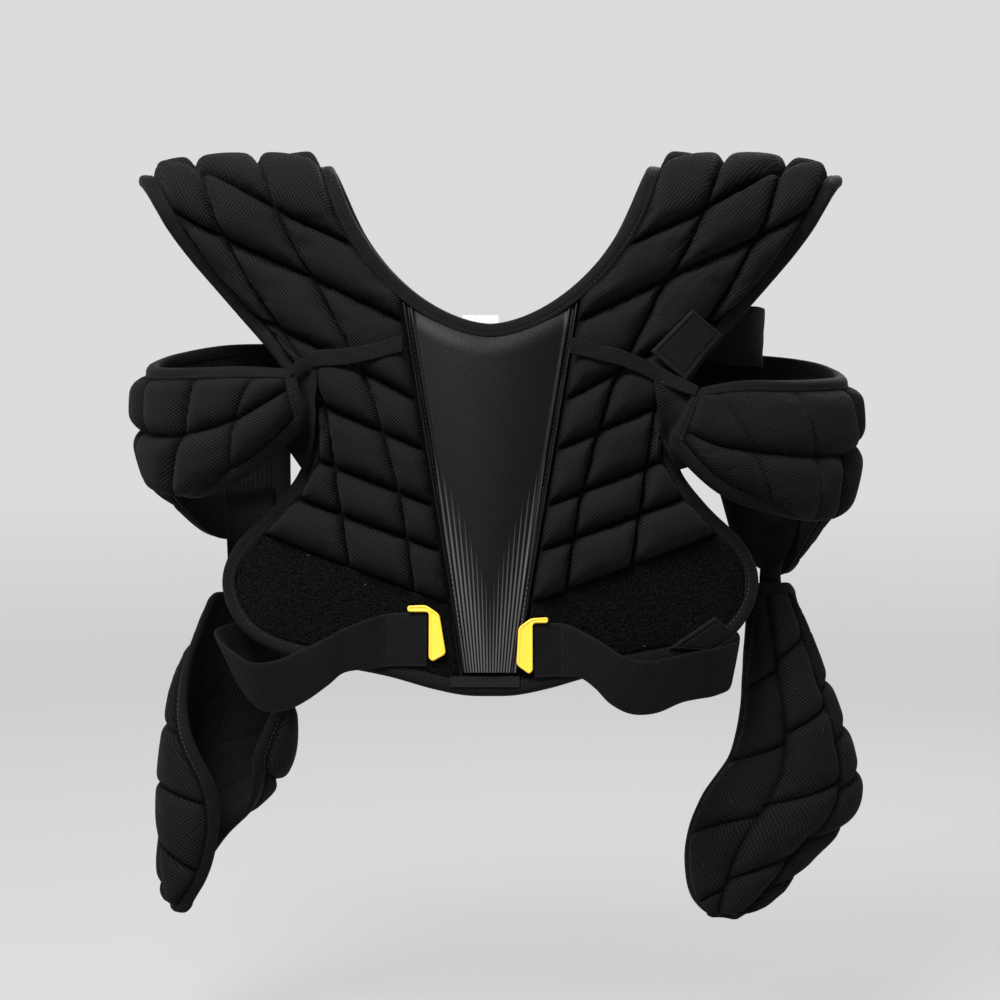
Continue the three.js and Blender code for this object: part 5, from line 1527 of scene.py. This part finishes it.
# Webbing of the chest
# A narrow woven webbing crosses each chest pad between two cross seams, from the plate to the upper
# front corner of the cap, and presses the foam down under it.
WEBBING_WIDTH = 10
WEBBING_THICKNESS = 1.4
WEBBING_END = {"a": 0.016, "b": (0.03, 0.19), "lift": 7.6}  # on the tape of the cap
webbing_cloth = edged_tape(
    "webbing_cloth", knit_weave, {"Pitch": 1.25, "Slant": math.radians(24)},
    (0.0082, 0.0082, 0.0088, 1), (0.01, 0.01, 0.011, 1), 0.4,
)
WEBBING_CUT = {"left": (0.01, 0.076), "right": (0.01, 0.085)}
share = np.linspace(0, 1, 12)
for seed, (_, hand) in enumerate(SIDES):
    line = WEBBING[hand]
    lift = SEWN_FOOT + WEBBING_THICKNESS / 2
    rows = [on_vest(x, s, WEBBING_WIDTH, lift, share) for x, s in zip(line["x"], line["s"])]
    rows.append(caps[hand](WEBBING_END["a"], mix(*WEBBING_END["b"], share), WEBBING_END["lift"]))
    strap_piece(
        f"webbing_{hand}", webbing_cloth, rows, 60, WEBBING_THICKNESS, WEBBING_WIDTH, 100 + seed,
        flat=WEBBING_CUT[hand], held="stretched", rests_on=[f"chest_pad_{hand}"],
    )

# Hook tab and strap end
# On the right only: a tab of hook tape sewn on the chest pad with a stitched border, and the loose
# end of a strap stuck on the loop panel, its edges overlocked.
HOOK_TAB = {
    "x": [121, 139, 116, 95], "s": [109, 125, 157, 139], "width": 25, "length": 40, "thickness": 2.5,
}
STRAP_END = {
    "x": [107, 136, 151, 138], "s": [321, 302, 315, 323], "width": 34, "length": 18, "thickness": 1.6,
}
PATCH_BORDER = {"width": 2.6, "pitch": 1.3, "height": 0.18, "groove": 0.6, "fade": 24}
PATCH_EDGE_ROUND = 1.4
HOOK_TAB_CUT = {"flat": (0.026, 0.041)}
STRAP_END_CUT = {"flat": (0.036, 0.022), "area": 0.00056}


def quad_sheet(corners, foot, columns, rows):
    """Outer and inner points and flat places of a four-cornered patch on the vest, with an overlocked
    border, and how near its edge each point is."""
    u, v = np.meshgrid(np.linspace(0, 1, columns), np.linspace(0, 1, rows))
    places = [
        mix(mix(corners[key][0], corners[key][1], u), mix(corners[key][3], corners[key][2], u), v)
        for key in ("x", "s")
    ]
    flat = np.stack([u * corners["width"], v * corners["length"]], axis=-1)
    to_side = np.minimum(u, 1 - u) * corners["width"]
    to_edge = np.minimum(to_side, np.minimum(v, 1 - v) * corners["length"])
    top = foot + corners["thickness"] * mix(PANEL_EDGE, 1, rounded(to_edge, PATCH_EDGE_ROUND))
    overlock = np.sin(flat.sum(axis=-1) * 2 * math.pi / PATCH_BORDER["pitch"])
    top = top + PATCH_BORDER["height"] * overlock * (to_edge < PATCH_BORDER["width"])
    top = top - PATCH_BORDER["groove"] * np.exp(-((to_edge - PATCH_BORDER["width"] - 0.4) / 0.5) ** 2)
    return (vest_point(*places, top), vest_point(*places, foot), flat), 1 - to_edge / PATCH_BORDER["fade"]


hook_cloth = edged_tape(
    "hook_cloth", knit_weave, {"Pitch": 1.05, "Slant": math.radians(4)},
    (0.009, 0.009, 0.0096, 1), (0.014, 0.014, 0.015, 1), 0.45,
)
patch, near_edge = quad_sheet(HOOK_TAB, SEWN_FOOT + 1, 90, 140)
hook_tab = sheet_piece("hook_tab_patch", [patch], [hook_cloth], edge_share=near_edge)
sew_on(hook_tab, "hook_tab", "loop_pile", held="laid", rests_on=["chest_pad_right"], **HOOK_TAB_CUT)
patch, near_edge = quad_sheet(STRAP_END, LOOP_TOP + 2 * CLOTH_GAP, 110, 60)
strap_end = sheet_piece("strap_end_elastic", [patch], [elastic], edge_share=near_edge)
sew_on(strap_end, "strap_end", "elastic", held="laid", rests_on=["loop_panel_right"], **STRAP_END_CUT)

# Bicep straps and cap strap
# Elastic from the inside of each cap's back down into the bicep pad below it, and on the right a strap
# from inside the armhole tape to the back of the cap.
SHORT_STRAP_THICKNESS = 1.6
BICEP_STRAP_LIFT = -2.8
BICEP_STRAPS = {
    "left": {"cap": (0.96, 0.86), "bicep": (0.12, 0.72), "seat": -2.3},
    "right": {"cap": (0.9, 0.78), "bicep": (0.15, 0.85), "seat": -2.8},
}
BICEP_STRAP_DOWN_CAP = (0.76, 0.86)
BICEP_STRAP_DOWN_PAD = (0.04, 0.12)
CAP_STRAP_LIFT = -1 - 2 * CLOTH_GAP - SHORT_STRAP_THICKNESS / 2
CAP_STRAP_WIDTH = 30
CAP_STRAP_ON_VEST = {"x": (157, 131), "s": (104, 137)}
CAP_STRAP_ON_CAP = {"a": 0.86, "b": (-0.19, 0.07)}
CAP_STRAP_CUT = (0.038, 0.073)
CAP_STRAP_FREE = {
    "top_x": [170, 178], "top_z": [-84, -84], "foot_x": [158, 174], "foot_z": [-122, -121], "y": [-8, 10],
}
# A darker copy of the elastic: painted shade for the straps that hang in the dark inside the caps and pads.
painted_shade_elastic = edged_tape(
    "painted_shade_elastic", rib_weave, {"Rib": 0.95, "Thread": 0.8},
    (0.0018, 0.0018, 0.002, 1), (0.0024, 0.0024, 0.0027, 1), 0.12,
)
BICEP_STRAP_CUT = {"left": (0.036, 0.074), "right": (0.03, 0.06)}
share = np.linspace(0, 1, 20)
for seed, (_, hand) in enumerate(SIDES):
    strap = BICEP_STRAPS[hand]
    on_cap = mix(*strap["cap"], share)
    on_bicep = mix(*strap["bicep"], share)
    rows = [caps[hand](on_cap, b, BICEP_STRAP_LIFT) for b in BICEP_STRAP_DOWN_CAP]
    rows.append(biceps[hand](on_bicep, 0, strap["seat"]) + [0, 0, SHELL_TAPE_WIDTH])
    rows += [biceps[hand](on_bicep, b, strap["seat"]) for b in BICEP_STRAP_DOWN_PAD]
    strap_piece(
        f"bicep_strap_{hand}", painted_shade_elastic, rows, 70, SHORT_STRAP_THICKNESS, STRAP_WIDTH, 110 + seed,
        flat=BICEP_STRAP_CUT[hand], held="hung", rests_on=[f"cap_pad_{hand}", f"bicep_pad_{hand}"],
    )

vest_end = vest_point(CAP_STRAP_ON_VEST["x"], CAP_STRAP_ON_VEST["s"], CAP_STRAP_LIFT)
cap_end = caps["right"](CAP_STRAP_ON_CAP["a"], CAP_STRAP_ON_CAP["b"], CAP_STRAP_LIFT)
rows = [between(*vest_end, share), *free_rows(CAP_STRAP_FREE, share), between(*cap_end, share)]
strap_piece(
    "cap_strap_right", painted_shade_elastic, rows, 60, SHORT_STRAP_THICKNESS, CAP_STRAP_WIDTH, 120,
    flat=CAP_STRAP_CUT, held="hung", rests_on=["edge_binding_right", "cap_binding_right"],
)

# Labels
# A black woven label is sewn on the hem tape below the plate and a white one inside the back of the
# neck. Both are left bare.
LABEL_THICKNESS = 0.8
LABEL_WAVE = 0.15
HEM_LABEL = {"x": -3, "s": 340, "width": 41, "height": 6.5, "foot": 7.1}
NECK_LABEL = {"x": -7, "s": -112, "width": 24, "height": 15, "foot": -2.1}
NECK_LABEL_CUT = (0.024, 0.015)


def label_sheet(label):
    u, v = np.meshgrid(np.linspace(-0.5, 0.5, 60), np.linspace(-0.5, 0.5, 16))
    x, s = label["x"] + u * label["width"], label["s"] + v * label["height"]
    wave_lift = LABEL_WAVE * ripple(x, 9)
    outer = vest_point(x, s, label["foot"] + LABEL_THICKNESS + wave_lift)
    return outer, vest_point(x, s, label["foot"] + wave_lift), np.stack([x, s], axis=-1)


hem_weave = cloth_material(
    "hem_label_weave", rib_weave, {"Rib": 0.6, "Thread": 0.5},
    (0.002, 0.002, 0.002, 1), (0.008, 0.008, 0.008, 1), 0.12, Roughness=0.7, Specular_IOR_Level=0.12,
)
hem_label = sheet_piece("hem_label_cloth", [label_sheet(HEM_LABEL)], [hem_weave])
sew_on(hem_label, "hem_label", "hem_label")
neck_weave = cloth_material(
    "neck_label_weave", rib_weave, {"Rib": 0.6, "Thread": 0.5},
    (0.55, 0.55, 0.54, 1), (0.8, 0.8, 0.79, 1), 0.1, lint=0, Roughness=0.8, Specular_IOR_Level=0.3,
)
neck_label = sheet_piece("neck_label_cloth", [label_sheet(NECK_LABEL)], [neck_weave])
sew_on(neck_label, "neck_label", "neck_label", flat=NECK_LABEL_CUT, held="hung", rests_on=["neck_binding"])
